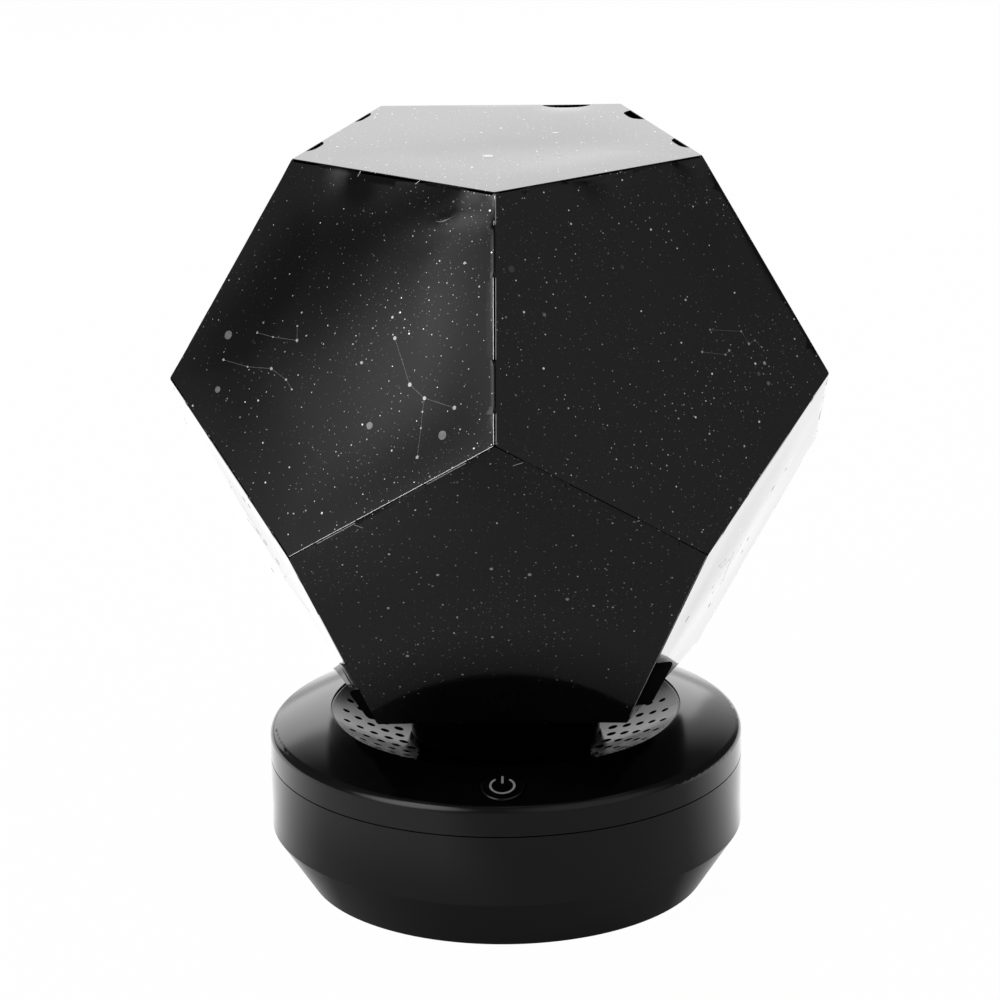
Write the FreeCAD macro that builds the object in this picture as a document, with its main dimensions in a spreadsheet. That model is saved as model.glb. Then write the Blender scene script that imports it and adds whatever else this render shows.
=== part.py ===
import FreeCAD, Part
import math
import os
import Sketcher

# Home planetarium projector: a black twelve-sided globe of pierced film that a
# small geared motor turns on a round base. A lamp on a fixed stem stands at the
# middle of the globe. Millimetres, +Z up, front towards -Y, and the origin on
# the surface the base stands on, below the middle of the globe.

SIZES = {
    "Base shells": {
        "base_radius": 60.0,
        "floor_radius": 50.8,
        "foot_projection": 0.3,
        "floor_thickness": 2.4,
        "shell_wall": 2.2,
        "taper_wall": 2.6,
        "crease_height": 14.5,
        "seam_height": 32.5,
        "seam_gap": 0.3,
        "corner_height": 40.1,
        "corner_round": 2.5,
        "bowl_radius": 44.5,
        "bowl_height": 44.7,
        "dome_bulge": 0.4,
        "tongue_wall": 1.35,
        "tongue_drop": 3.0,
        "shell_fit": 0.15,
    },
    "Grille dish": {
        "dish_fit": 0.1,
        "dish_rim_drop": 0.4,
        "dish_rim_width": 0.5,
        "dish_wall": 1.4,
        "dish_floor_height": 36.9,
        "dish_floor_radius": 23.0,
        "dish_curve_radius": 87.6,
        "dish_hole_radius": 12.0,
        "collar_wall": 1.2,
        "collar_root_drop": 1.9,
        "flange_radius": 52.0,
        "flange_bottom": 38.0,
        "flange_notch_half_width": 9.4,
        "hole_first_ring": 27.3,
        "hole_ring_pitch": 3.6,
        "hole_pitch_loss": 0.09,
        "hole_inner_radius": 1.2,
        "hole_outer_radius": 0.88,
        "hole_start_angle": 0.0,
        "hole_twist_angle": 2.65,
    },
    "Case screws and feet": {
        "boss_ring_radius": 47.4,
        "boss_angle": 55.0,
        "boss_radius": 3.6,
        "post_radius": 2.6,
        "post_joint_height": 22.0,
        "screw_ledge_height": 14.0,
        "screw_head_radius": 2.4,
        "screw_head_height": 1.8,
        "screw_shank_radius": 1.45,
        "screw_shank_length": 16.0,
        "screw_fit": 0.05,
        "head_fit": 0.3,
        "foot_ring_radius": 38.0,
        "foot_radius": 5.0,
        "foot_recess": 1.3,
        "foot_fit": 0.1,
    },
    "Mechanism": {
        "plate_height": 22.6,
        "plate_thickness": 2.0,
        "plate_left": 26.0,
        "plate_right": 41.0,
        "plate_half_width": 10.0,
        "plate_disc_radius": 16.0,
        "plate_arm_half_width": 6.5,
        "plate_arm_reach": 20.0,
        "pillar_radius": 3.0,
        "pillar_left": 22.0,
        "pillar_right": 37.5,
        "pillar_side": 6.0,
        "small_head_radius": 1.7,
        "small_head_height": 1.1,
        "small_shank_radius": 1.1,
        "small_shank_length": 6.0,
        "gear_module": 0.8,
        "gear_pressure_angle": 25.0,
        "gear_addendum": 0.72,
        "gear_dedendum": 0.96,
        "gear_backlash": 0.08,
        "gear_centre_ease": 0.1,
        "gear_height": 28.5,
        "gear_thickness": 5.0,
        "pinion_overhang": 0.5,
        "shaft_radius": 1.5,
        "shaft_overhang": 0.6,
        "running_fit": 0.06,
        "motor_radius": 12.0,
        "motor_length": 14.6,
        "motor_boss_radius": 4.0,
        "motor_boss_height": 3.6,
        "motor_round": 0.8,
        "shaft_seat_depth": 8.0,
        "ear_reach": 15.4,
        "ear_radius": 3.4,
        "ear_thickness": 1.0,
        "washer_thickness": 0.8,
        "washer_radius": 8.4,
        "washer_fit": 0.15,
        "thrust_gap": 0.1,
        "plate_fit": 0.1,
    },
    "Lamp": {
        "stem_flange_radius": 14.0,
        "stem_flange_thickness": 1.8,
        "stem_screw_ring": 12.0,
        "journal_radius": 6.0,
        "stem_radius": 3.5,
        "stem_bore_radius": 2.2,
        "journal_top": 58.0,
        "stem_taper": 3.0,
        "stem_cup_radius": 6.2,
        "stem_cup_thickness": 2.0,
        "lamp_board_radius": 7.0,
        "lamp_board_thickness": 1.2,
        "led_collar_radius": 2.95,
        "led_collar_height": 1.0,
        "led_radius": 2.5,
        "led_drop": 4.7,
    },
    "Turntable": {
        "hub_radius": 24.0,
        "hub_disc_thickness": 2.4,
        "hub_skirt_wall": 1.8,
        "hub_skirt_gap": 1.4,
        "hub_edge_round": 0.6,
        "hub_sleeve_radius": 9.5,
        "hub_spigot_radius": 16.8,
        "hub_spigot_wall": 1.8,
        "hub_spigot_height": 2.6,
        "clamp_outer_radius": 23.0,
        "clamp_thickness": 2.0,
        "clamp_fit": 0.15,
        "clamp_screw_ring": 20.2,
    },
    "Globe of film": {
        "film_edge": 61.0,
        "film_thickness": 0.4,
        "film_gap": 0.15,
        "film_floor_height": 55.0,
        "globe_yaw": 0.0,
        "tab_near": 8.1,
        "tab_far": 20.4,
        "tab_bend_radius": 1.6,
        "tab_reach": 4.5,
        "tab_slit": 0.3,
    },
    "Power button": {
        "button_place": 52.3,
        "button_hole_radius": 5.7,
        "button_radius": 5.3,
        "button_proud": 0.15,
        "button_round": 0.5,
        "button_ear_reach": 6.5,
        "button_ear_width": 3.0,
        "button_ear_height": 0.8,
        "button_ear_gap": 0.25,
        "button_stem_radius": 1.6,
        "button_travel": 0.5,
        "switch_rib_inner": 7.0,
        "switch_rib_thickness": 1.6,
        "switch_rib_width": 9.0,
        "switch_rib_root": 1.2,
        "switch_board_drop": 9.4,
        "switch_board_thickness": 1.2,
        "switch_side": 6.0,
        "switch_height": 3.4,
        "plunger_radius": 1.7,
        "plunger_length": 2.2,
        "plunger_show": 0.8,
        "plunger_fit": 0.08,
        "symbol_radius": 3.2,
        "symbol_stroke": 0.55,
        "symbol_depth": 0.35,
        "symbol_opening_angle": 70.0,
        "symbol_bar_inner": 0.9,
        "symbol_bar_outer": 3.7,
    },
    "Battery, board and port": {
        "cell_radius": 9.1,
        "cell_length": 65.0,
        "cell_offset": 24.4,
        "cell_round": 0.8,
        "cell_button_radius": 3.0,
        "cell_button_height": 1.0,
        "holder_floor": 0.8,
        "holder_half_width": 9.9,
        "holder_side_wall": 0.7,
        "holder_end_wall": 1.6,
        "holder_height": 9.0,
        "contact_side": 8.0,
        "contact_thickness": 0.4,
        "board_half_width": 12.5,
        "board_front": 25.0,
        "board_back": 55.5,
        "board_height": 17.0,
        "board_thickness": 1.6,
        "board_post_radius": 2.2,
        "board_post_side": 9.5,
        "board_post_front": 29.0,
        "board_post_back": 43.0,
        "chip_side": 6.0,
        "chip_height": 1.2,
        "chip_front": 32.5,
        "chip_gap": 1.6,
        "coil_radius": 2.5,
        "coil_height": 3.0,
        "port_width": 9.0,
        "port_height": 3.2,
        "port_length": 7.4,
        "port_wall": 0.35,
        "port_recess": 1.6,
        "port_tongue_width": 6.6,
        "port_tongue_thickness": 0.7,
        "port_tongue_length": 5.4,
        "port_fit": 0.35,
    },
    "Speaker": {
        "speaker_offset": 32.5,
        "speaker_radius": 10.0,
        "speaker_top": 34.6,
        "speaker_flange": 1.0,
        "speaker_flange_width": 1.9,
        "basket_depth": 4.0,
        "basket_wall": 0.6,
        "basket_base_radius": 6.5,
        "basket_hole_radius": 2.6,
        "magnet_radius": 5.5,
        "magnet_height": 3.6,
        "cone_thickness": 0.4,
        "cone_rim_inner": 7.4,
        "cone_cap_radius": 2.6,
        "cone_drop": 2.6,
        "speaker_collar_wall": 1.2,
        "speaker_collar_depth": 3.2,
    },
    "Cutting": {
        "overrun": 5.0,
    },
}

GEAR_TEETH = 42
PINION_TEETH = 14
HOLE_RINGS = 5
HOLES_IN_RING = 36
CLAMP_SCREWS = 3
CLAMP_START = 90.0
STEM_SCREWS = 3
STEM_START = 60.0
FEET = 4
FILM_SIDES = 5
GOLDEN = (1 + math.sqrt(5)) / 2

doc = FreeCAD.newDocument("PlanetariumProjector")
sheet = doc.addObject("Spreadsheet::Sheet", "Sizes")
row = 0
for section, entries in SIZES.items():
    row += 1
    sheet.set(f"A{row}", section)
    for alias, value in entries.items():
        row += 1
        sheet.set(f"A{row}", alias)
        sheet.set(f"B{row}", str(value))
        sheet.setAlias(f"B{row}", alias)
doc.recompute()


class Size:
    """A size with the sheet formula that gives it, in millimetres, degrees or as a ratio."""

    def __init__(self, value, formula):
        self.value = float(value)
        self.formula = formula

    def _join(self, other, sign, value, swapped=False):
        pair = [self.formula, other.formula if isinstance(other, Size) else repr(float(other))]
        if swapped:
            pair.reverse()
        return Size(value, f"({pair[0]} {sign} {pair[1]})")

    def __float__(self):
        return self.value

    def __add__(self, other):
        return self._join(other, "+", self.value + float(other))

    __radd__ = __add__

    def __sub__(self, other):
        return self._join(other, "-", self.value - float(other))

    def __rsub__(self, other):
        return self._join(other, "-", float(other) - self.value, swapped=True)

    def __mul__(self, other):
        return self._join(other, "*", self.value * float(other))

    __rmul__ = __mul__

    def __truediv__(self, other):
        return self._join(other, "/", self.value / float(other))

    def __neg__(self):
        return Size(-self.value, f"(-{self.formula})")


class SheetSizes:
    """Reads a driving dimension of the sheet by its alias."""

    def __getattr__(self, alias):
        return Size(sheet.get(alias), f"Sizes.{alias}")


size = SheetSizes()


def sine(angle):
    return Size(math.sin(math.radians(angle.value)), f"sin({angle.formula} * 1 deg)")


def cosine(angle):
    return Size(math.cos(math.radians(angle.value)), f"cos({angle.formula} * 1 deg)")


def bind(thing, prop, value):
    """Sets a property, through the sheet where the value is a size."""
    if isinstance(value, Size):
        thing.setExpression(prop, value.formula)
    elif float(value) != 0:
        thing.setExpression(prop, repr(float(value)))


def place(thing, x=0, y=0, z=0, axis=None, angle=0):
    """Puts a piece at a point, turned about an axis through its own origin."""
    if axis is not None:
        thing.Placement = FreeCAD.Placement(
            FreeCAD.Vector(0, 0, 0), FreeCAD.Rotation(FreeCAD.Vector(*axis), float(angle)))
        if isinstance(angle, Size):
            bind(thing, "Placement.Rotation.Angle", angle)
    for letter, value in zip("xyz", (x, y, z)):
        bind(thing, f"Placement.Base.{letter}", value)
    return thing


# Profiles and simple solids

def new_sketch(body, name, plane="XZ_Plane", lift=0):
    sketch = body.newObject("Sketcher::SketchObject", name)
    planes = [item for item in body.Origin.OriginFeatures if item.Role == plane]
    sketch.AttachmentSupport = [(planes[0], "")]
    sketch.MapMode = "FlatFace"
    bind(sketch, "AttachmentOffset.Base.z", lift)
    return sketch


def pin_point(sketch, geometry, end, point):
    """Fixes one end of a sketch line at its named place."""
    for axis, kind, value in ((-2, "DistanceX", point[0]), (-1, "DistanceY", point[1])):
        if isinstance(value, Size):
            index = sketch.addConstraint(Sketcher.Constraint(kind, -1, 1, geometry, end, value.value))
            sketch.setExpression(f"Constraints[{index}]", value.formula)
        else:
            sketch.addConstraint(Sketcher.Constraint("PointOnObject", geometry, end, axis))


def arc_between(start, finish, radius, turn):
    """Arc from start to finish; turn is 1 for a left-hand bend and -1 for a right-hand one."""
    chord = finish - start
    middle = (start + finish) / 2
    rise = math.sqrt(max(radius ** 2 - (chord.Length / 2) ** 2, 0))
    normal = FreeCAD.Vector(-chord.y, chord.x, 0).normalize()
    centre = middle + normal * rise * turn
    circle = Part.Circle(centre, FreeCAD.Vector(0, 0, 1), radius)
    ends = (start, finish) if turn > 0 else (finish, start)
    angles = [math.atan2(end.y - centre.y, end.x - centre.x) for end in ends]
    if angles[1] <= angles[0]:
        angles[1] += 2 * math.pi
    return Part.ArcOfCircle(circle, angles[0], angles[1])


def draw_outline(sketch, points, arcs=None):
    """Closed outline through the points; arcs gives side number: (radius, turn)."""
    arcs = arcs or {}
    corners = [FreeCAD.Vector(float(x), float(y), 0) for x, y in points]
    ends = []
    for side, start in enumerate(corners):
        finish = corners[(side + 1) % len(corners)]
        if side in arcs:
            radius, turn = arcs[side]
            index = sketch.addGeometry(arc_between(start, finish, float(radius), turn))
            bound = sketch.addConstraint(Sketcher.Constraint("Radius", index, float(radius)))
            sketch.setExpression(f"Constraints[{bound}]", radius.formula)
            ends.append((index, 1, 2) if turn > 0 else (index, 2, 1))
        else:
            index = sketch.addGeometry(Part.LineSegment(start, finish))
            ends.append((index, 1, 2))
    for side, (index, first, last) in enumerate(ends):
        before = ends[side - 1]
        sketch.addConstraint(Sketcher.Constraint("Coincident", before[0], before[2], index, first))
        pin_point(sketch, index, first, points[side])


def draw_circle(sketch, radius, x=0, y=0):
    middle = FreeCAD.Vector(float(x), float(y), 0)
    index = sketch.addGeometry(Part.Circle(middle, FreeCAD.Vector(0, 0, 1), float(radius)))
    bound = sketch.addConstraint(Sketcher.Constraint("Radius", index, float(radius)))
    sketch.setExpression(f"Constraints[{bound}]", radius.formula)
    pin_point(sketch, index, 3, (x, y))


def turned(name, points, arcs=None):
    """Body turned from half a section, given as radius and height."""
    body = doc.addObject("PartDesign::Body", name)
    sketch = new_sketch(body, name + "_section")
    draw_outline(sketch, points, arcs)
    solid = body.newObject("PartDesign::Revolution", name + "_turned")
    solid.Profile = sketch
    solid.ReferenceAxis = (sketch, ["V_Axis"])
    solid.Angle = 360
    return body


def pierce(body, name, circles, bottom, depth):
    """Round holes through a body, upwards from a height; circles gives radius, x and y."""
    sketch = new_sketch(body, name + "_sketch", "XY_Plane", bottom)
    for radius, x, y in circles:
        draw_circle(sketch, radius, x, y)
    hole = body.newObject("PartDesign::Pocket", name)
    hole.Profile = sketch
    hole.Reversed = True
    bind(hole, "Length", depth)
    body.Tip = hole
    return hole


def cylinder(name, radius, height, x=0, y=0, z=0, axis=None, angle=0):
    solid = doc.addObject("Part::Cylinder", name)
    bind(solid, "Radius", radius)
    bind(solid, "Height", height)
    return place(solid, x, y, z, axis, angle)


def block(name, length, width, height, x=0, y=0, z=0):
    solid = doc.addObject("Part::Box", name)
    bind(solid, "Length", length)
    bind(solid, "Width", width)
    bind(solid, "Height", height)
    return place(solid, x, y, z)


def fuse(name, *pieces):
    joined = doc.addObject("Part::MultiFuse", name)
    joined.Shapes = list(pieces)
    return joined


def cut(name, base, *tools):
    result = doc.addObject("Part::Cut", name)
    result.Base = base
    result.Tool = tools[0] if len(tools) == 1 else fuse(name + "_tools", *tools)
    return result


def group(name, *pieces):
    joined = doc.addObject("Part::Compound", name)
    joined.Links = list(pieces)
    return joined


def ring_places(ring_radius, angles):
    return [(ring_radius * cosine(angle), ring_radius * sine(angle)) for angle in angles]


def even_angles(count, first=0.0):
    return [Size(first + 360.0 * step / count, repr(first + 360.0 * step / count)) for step in range(count)]


def screw(name, head, shank, x, y, z, up):
    """Screw whose head rests at height z; up is 1 where the shank points up, -1 where it points down."""
    head_radius, head_height = head
    shank_radius, shank_length = shank
    if up > 0:
        lower = cylinder(name + "_head", head_radius, head_height, x, y, z - head_height)
        upper = cylinder(name + "_shank", shank_radius, shank_length, x, y, z)
    else:
        lower = cylinder(name + "_shank", shank_radius, shank_length, x, y, z - shank_length)
        upper = cylinder(name + "_head", head_radius, head_height, x, y, z)
    return fuse(name, lower, upper)


parts = {}


def keep(label, thing):
    """Names a finished sub-part, and the file that it is written to."""
    thing.Label = label
    parts[label] = thing


# Places that several pieces share

floor_top = size.foot_projection + size.floor_thickness
inner_radius = size.base_radius - size.shell_wall
taper_grade = (size.crease_height - size.foot_projection) / (size.base_radius - size.floor_radius)
dome_grade = (size.bowl_height - size.corner_height) / (size.base_radius - size.bowl_radius)
dome_angle = Size(math.degrees(math.atan(dome_grade.value)), f"(atan({dome_grade.formula}) / 1 deg)")
dish_rim_height = size.bowl_height - size.dish_rim_drop
dish_radius = size.bowl_radius - size.dish_fit
collar_inner = dish_radius - size.collar_wall
boss_angles = [size.boss_angle, 180 - size.boss_angle, 180 + size.boss_angle, 360 - size.boss_angle]
boss_places = ring_places(size.boss_ring_radius, boss_angles)
plate_top = size.plate_height + size.plate_thickness
flange_top = plate_top + size.stem_flange_thickness
pitch_radius = size.gear_module * GEAR_TEETH / 2
pinion_radius = size.gear_module * PINION_TEETH / 2
motor_x = pitch_radius + pinion_radius + size.gear_centre_ease
inradius_share = GOLDEN ** 2 / (2 * math.sqrt(3 - GOLDEN))
apothem_share = 0.5 / math.tan(math.pi / FILM_SIDES)
globe_centre = size.film_floor_height + size.film_edge * inradius_share
board_top = size.board_height + size.board_thickness
button_height = size.corner_height + (size.base_radius - size.button_place) * dome_grade
button_height = button_height + size.dome_bulge / cosine(dome_angle)


def dome_underside(radius):
    outer_height = size.corner_height + (size.base_radius - radius) * dome_grade
    return outer_height - size.shell_wall / cosine(dome_angle)


def on_button(thing, x=0, y=0, z=0):
    """Puts a piece in the tilted frame of the button, whose z is zero on the dome."""
    across = -size.button_place + cosine(dome_angle) * y - sine(dome_angle) * z
    height = button_height + sine(dome_angle) * y + cosine(dome_angle) * z
    return place(thing, x, across, height, (1, 0, 0), dome_angle)


# Base shells

corner_turn = (90 - dome_angle) / 2
corner_reach = size.corner_round * sine(corner_turn) / cosine(corner_turn)
corner_low = size.corner_height - corner_reach
corner_in = size.base_radius - corner_reach * cosine(dome_angle)
corner_top = size.corner_height + corner_reach * sine(dome_angle)
dome_run = corner_in - size.bowl_radius
dome_rise = size.bowl_height - corner_top
dome_radius = (dome_run * dome_run + dome_rise * dome_rise) / (size.dome_bulge * 8) + size.dome_bulge / 2
taper_floor = size.floor_radius + size.floor_thickness / taper_grade - size.taper_wall
crease_inner = size.crease_height + (size.taper_wall - size.shell_wall) * taper_grade
seam_low = size.seam_height - size.seam_gap / 2
seam_high = size.seam_height + size.seam_gap / 2
board_middle = board_top + size.port_height / 2
foot_angles = even_angles(FEET)
pillar_places = [
    (x, y) for x in (-size.pillar_left, size.pillar_right) for y in (-size.pillar_side, size.pillar_side)]
board_places = [
    (x, y) for x in (-size.board_post_side, size.board_post_side)
    for y in (size.board_post_front, size.board_post_back)]
small_pilot = size.small_shank_radius + size.screw_fit
pilot_depth = size.small_shank_length + size.screw_fit

shell = turned("lower_shell_wall", [
    (0, size.foot_projection),
    (size.floor_radius, size.foot_projection),
    (size.base_radius, size.crease_height),
    (size.base_radius, seam_low),
    (inner_radius, seam_low),
    (inner_radius, crease_inner),
    (taper_floor, floor_top),
    (0, floor_top),
])
floor_middle = size.foot_projection + size.floor_thickness / 2
pieces = [shell]
for number, (x, y) in enumerate(boss_places):
    pieces.append(cylinder(f"case_boss_{number}", size.boss_radius,
                           size.post_joint_height - floor_middle, x, y, floor_middle))
for number, (x, y) in enumerate(pillar_places):
    pieces.append(cylinder(f"plate_pillar_{number}", size.pillar_radius,
                           size.plate_height - floor_middle, x, y, floor_middle))
for number, (x, y) in enumerate(board_places):
    pieces.append(cylinder(f"board_post_{number}", size.board_post_radius,
                           size.board_height - floor_middle, x, y, floor_middle))
shell = fuse("lower_shell_solid", *pieces)
head_bore = size.screw_head_radius + size.head_fit
shank_bore = size.screw_shank_radius + size.screw_fit
tools = []
for number, (x, y) in enumerate(boss_places):
    tools.append(cylinder(f"head_bore_{number}", head_bore,
                          size.screw_ledge_height + size.overrun, x, y, -size.overrun))
    tools.append(cylinder(f"shank_bore_{number}", shank_bore,
                          size.post_joint_height + size.overrun, x, y, 0))
for number, (x, y) in enumerate(ring_places(size.foot_ring_radius, foot_angles)):
    tools.append(cylinder(f"foot_recess_{number}", size.foot_radius + size.foot_fit,
                          size.foot_projection + size.foot_recess + size.overrun, x, y, -size.overrun))
for number, (x, y) in enumerate(pillar_places):
    tools.append(cylinder(f"pillar_pilot_{number}", small_pilot, pilot_depth + size.overrun,
                          x, y, size.plate_height - pilot_depth))
for number, (x, y) in enumerate(board_places):
    tools.append(cylinder(f"post_pilot_{number}", small_pilot, pilot_depth + size.overrun,
                          x, y, size.board_height - pilot_depth))
inlet_half_width = size.port_width / 2 + size.port_fit
inlet_height = size.port_height + size.port_fit * 2
tools.append(block("usb_opening", inlet_half_width * 2, size.base_radius, inlet_height,
                   -inlet_half_width, size.board_back, board_middle - inlet_height / 2))
keep("base_lower_shell", cut("lower_shell", shell, *tools))

tongue_outer = inner_radius - size.shell_fit
tongue_inner = tongue_outer - size.tongue_wall
top = turned("top_shell_wall", [
    (size.base_radius, seam_high),
    (size.base_radius, corner_low),
    (corner_in, corner_top),
    (size.bowl_radius, size.bowl_height),
    (size.bowl_radius, dome_underside(size.bowl_radius)),
    (tongue_inner, dome_underside(tongue_inner)),
    (tongue_inner, seam_high - size.tongue_drop),
    (tongue_outer, seam_high - size.tongue_drop),
    (tongue_outer, seam_high),
], {1: (size.corner_round, 1), 2: (dome_radius, 1)})
pieces = [top]
post_top = dome_underside(size.boss_ring_radius - size.post_radius)
for number, (x, y) in enumerate(boss_places):
    pieces.append(cylinder(f"case_post_{number}", size.post_radius,
                           post_top - size.post_joint_height, x, y, size.post_joint_height))
rib_left = -size.switch_rib_inner - size.switch_rib_thickness
for number, x in enumerate((rib_left, size.switch_rib_inner)):
    rib = block(f"switch_rib_{number}", size.switch_rib_thickness, size.switch_rib_width,
                size.switch_board_drop - size.switch_rib_root)
    pieces.append(on_button(rib, x, -size.switch_rib_width / 2, -size.switch_board_drop))
top = fuse("top_shell_solid", *pieces)
screw_top = size.screw_ledge_height + size.screw_shank_length
tools = []
for number, (x, y) in enumerate(boss_places):
    tools.append(cylinder(f"post_bore_{number}", shank_bore, screw_top + size.screw_fit, x, y, 0))
button_hole = cylinder("button_hole", size.button_hole_radius, size.shell_wall * 2 + size.dome_bulge * 2)
tools.append(on_button(button_hole, z=-size.shell_wall * 2))
keep("base_top_shell", cut("top_shell", top, *tools))

# Grille dish with its collar, flange and speaker ring

dish_inner = dish_radius - size.dish_rim_width
dish_under = size.dish_floor_height - size.dish_wall
dish_curve_under = size.dish_curve_radius + size.dish_wall
dish = turned("dish_wall_section", [
    (dish_radius, dish_rim_height),
    (dish_radius, dome_underside(dish_radius)),
    (size.flange_radius, dome_underside(size.flange_radius)),
    (size.flange_radius, size.flange_bottom),
    (collar_inner, size.flange_bottom),
    (collar_inner, dish_rim_height - size.collar_root_drop),
    (size.dish_floor_radius, dish_under),
    (size.dish_hole_radius, dish_under),
    (size.dish_hole_radius, size.dish_floor_height),
    (size.dish_floor_radius, size.dish_floor_height),
    (dish_inner, dish_rim_height),
], {5: (dish_curve_under, -1), 9: (size.dish_curve_radius, 1)})
for ring in range(HOLE_RINGS):
    ring_radius = size.hole_first_ring + size.hole_ring_pitch * ring
    ring_radius = ring_radius - size.hole_pitch_loss * (ring * (ring - 1))
    hole_radius = size.hole_inner_radius + (size.hole_outer_radius - size.hole_inner_radius) * (
        ring / (HOLE_RINGS - 1))
    angle = 270 - size.hole_start_angle - size.hole_twist_angle * ring
    sketch = new_sketch(dish, f"hole_ring_{ring}_place", "XY_Plane", size.flange_bottom - size.overrun)
    draw_circle(sketch, hole_radius, ring_radius * cosine(angle), ring_radius * sine(angle))
    hole = dish.newObject("PartDesign::Pocket", f"hole_ring_{ring}_first")
    hole.Profile = sketch
    hole.Reversed = True
    bind(hole, "Length", size.bowl_height)
    dish.Tip = hole
    doc.recompute()
    pattern = dish.newObject("PartDesign::PolarPattern", f"hole_ring_{ring}")
    pattern.Originals = [hole]
    pattern.Axis = (sketch, ["N_Axis"])
    pattern.Angle = 360
    pattern.Occurrences = HOLES_IN_RING
    dish.Tip = pattern
collar_outer = size.speaker_radius + size.speaker_collar_wall
collar_low = size.speaker_top - size.speaker_collar_depth
tube = cut("speaker_tube",
           cylinder("speaker_tube_outer", collar_outer, size.bowl_height - collar_low,
                    0, size.speaker_offset, collar_low),
           cylinder("speaker_tube_bore", size.speaker_radius, size.bowl_height,
                    0, size.speaker_offset, collar_low - size.overrun))
half_wall = size.dish_wall / 2
above = turned("space_above_dish", [
    (0, size.dish_floor_height - half_wall),
    (size.dish_floor_radius, size.dish_floor_height - half_wall),
    (dish_inner, dish_rim_height - half_wall),
    (size.base_radius, dish_rim_height - half_wall),
    (size.base_radius, size.bowl_height * 2),
    (0, size.bowl_height * 2),
], {1: (size.dish_curve_radius, 1)})
dish = fuse("dish_solid", dish, cut("speaker_ring", tube, above))
notch_edge = dish_radius + size.dish_fit
tools = [block("flange_notch", size.flange_notch_half_width * 2, size.base_radius - notch_edge,
               size.bowl_height, -size.flange_notch_half_width, -size.base_radius, 0)]
for number, (x, y) in enumerate(boss_places):
    tools.append(cylinder(f"post_clearance_{number}", size.post_radius + size.dish_fit,
                          size.bowl_height, x, y, 0))
keep("grille_dish", cut("dish", dish, *tools))

# Feet and case screws

feet = [cylinder(f"foot_{number}", size.foot_radius, size.foot_projection + size.foot_recess, x, y)
        for number, (x, y) in enumerate(ring_places(size.foot_ring_radius, foot_angles))]
keep("rubber_feet", group("feet", *feet))
case_head = (size.screw_head_radius, size.screw_head_height)
case_shank = (size.screw_shank_radius, size.screw_shank_length)
small_head = (size.small_head_radius, size.small_head_height)
small_shank = (size.small_shank_radius, size.small_shank_length)
keep("case_screws", group("case_screw_set", *[
    screw(f"case_screw_{number}", case_head, case_shank, x, y, size.screw_ledge_height, 1)
    for number, (x, y) in enumerate(boss_places)]))

# Mechanism plate, motor and pinion

plate_body = doc.addObject("PartDesign::Body", "plate_outline")
sketch = new_sketch(plate_body, "plate_sketch", "XY_Plane", size.plate_height)
arm_left = motor_x - size.plate_arm_half_width
arm_right = motor_x + size.plate_arm_half_width
draw_outline(sketch, [
    (-size.plate_left, -size.plate_half_width),
    (arm_left, -size.plate_half_width),
    (arm_left, -size.plate_arm_reach),
    (arm_right, -size.plate_arm_reach),
    (arm_right, -size.plate_half_width),
    (size.plate_right, -size.plate_half_width),
    (size.plate_right, size.plate_half_width),
    (arm_right, size.plate_half_width),
    (arm_right, size.plate_arm_reach),
    (arm_left, size.plate_arm_reach),
    (arm_left, size.plate_half_width),
    (-size.plate_left, size.plate_half_width),
])
pad = plate_body.newObject("PartDesign::Pad", "plate_pad")
pad.Profile = sketch
bind(pad, "Length", size.plate_thickness)
plate_body.Tip = pad
plate = fuse("plate_solid", plate_body,
             cylinder("plate_disc", size.plate_disc_radius, size.plate_thickness, 0, 0, size.plate_height))
stem_places = ring_places(size.stem_screw_ring, even_angles(STEM_SCREWS, STEM_START))
motor_places = [(motor_x, -size.ear_reach), (motor_x, size.ear_reach)]
tools = [
    cylinder("wire_hole", size.stem_bore_radius, size.plate_height, 0, 0, size.plate_height - size.overrun),
    cylinder("motor_boss_hole", size.motor_boss_radius + size.plate_fit, size.plate_height,
             motor_x, 0, size.plate_height - size.overrun),
]
for number, (x, y) in enumerate(stem_places + motor_places + pillar_places):
    tools.append(cylinder(f"plate_hole_{number}", small_pilot, size.plate_height,
                          x, y, size.plate_height - size.overrun))
keep("mechanism_plate", cut("plate", plate, *tools))
keep("plate_screws", group("plate_screw_set", *[
    screw(f"plate_screw_{number}", small_head, small_shank, x, y, plate_top, -1)
    for number, (x, y) in enumerate(pillar_places)]))

motor_low = size.plate_height - size.motor_length
boss_top = size.plate_height + size.motor_boss_height
seat_low = boss_top - size.shaft_seat_depth
can = turned("motor_can", [
    (0, motor_low),
    (size.motor_radius - size.motor_round, motor_low),
    (size.motor_radius, motor_low + size.motor_round),
    (size.motor_radius, size.plate_height),
    (size.motor_boss_radius, size.plate_height),
    (size.motor_boss_radius, boss_top),
    (size.shaft_radius + size.running_fit, boss_top),
    (size.shaft_radius + size.running_fit, seat_low),
    (0, seat_low),
], {1: (size.motor_round, 1)})
place(can, motor_x)
ears = block("motor_ears", size.ear_radius * 2, (size.ear_reach + size.ear_radius) * 2, size.ear_thickness,
             motor_x - size.ear_radius, -size.ear_reach - size.ear_radius,
             size.plate_height - size.ear_thickness)
ear_bore = cylinder("ear_bore", size.motor_radius - size.motor_round, size.ear_thickness + size.overrun,
                    motor_x, 0, size.plate_height - size.ear_thickness)
tools = [
    cylinder(f"ear_hole_{number}", small_pilot, size.plate_height, x, y, size.overrun)
    for number, (x, y) in enumerate(motor_places)]
ears = cut("motor_ear_pair", ears, ear_bore, *tools)
keep("motor", fuse("motor_solid", can, ears))
keep("motor_screws", group("motor_screw_set", *[
    screw(f"motor_screw_{number}", small_head, small_shank, x, y, plate_top, -1)
    for number, (x, y) in enumerate(motor_places)]))


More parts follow.
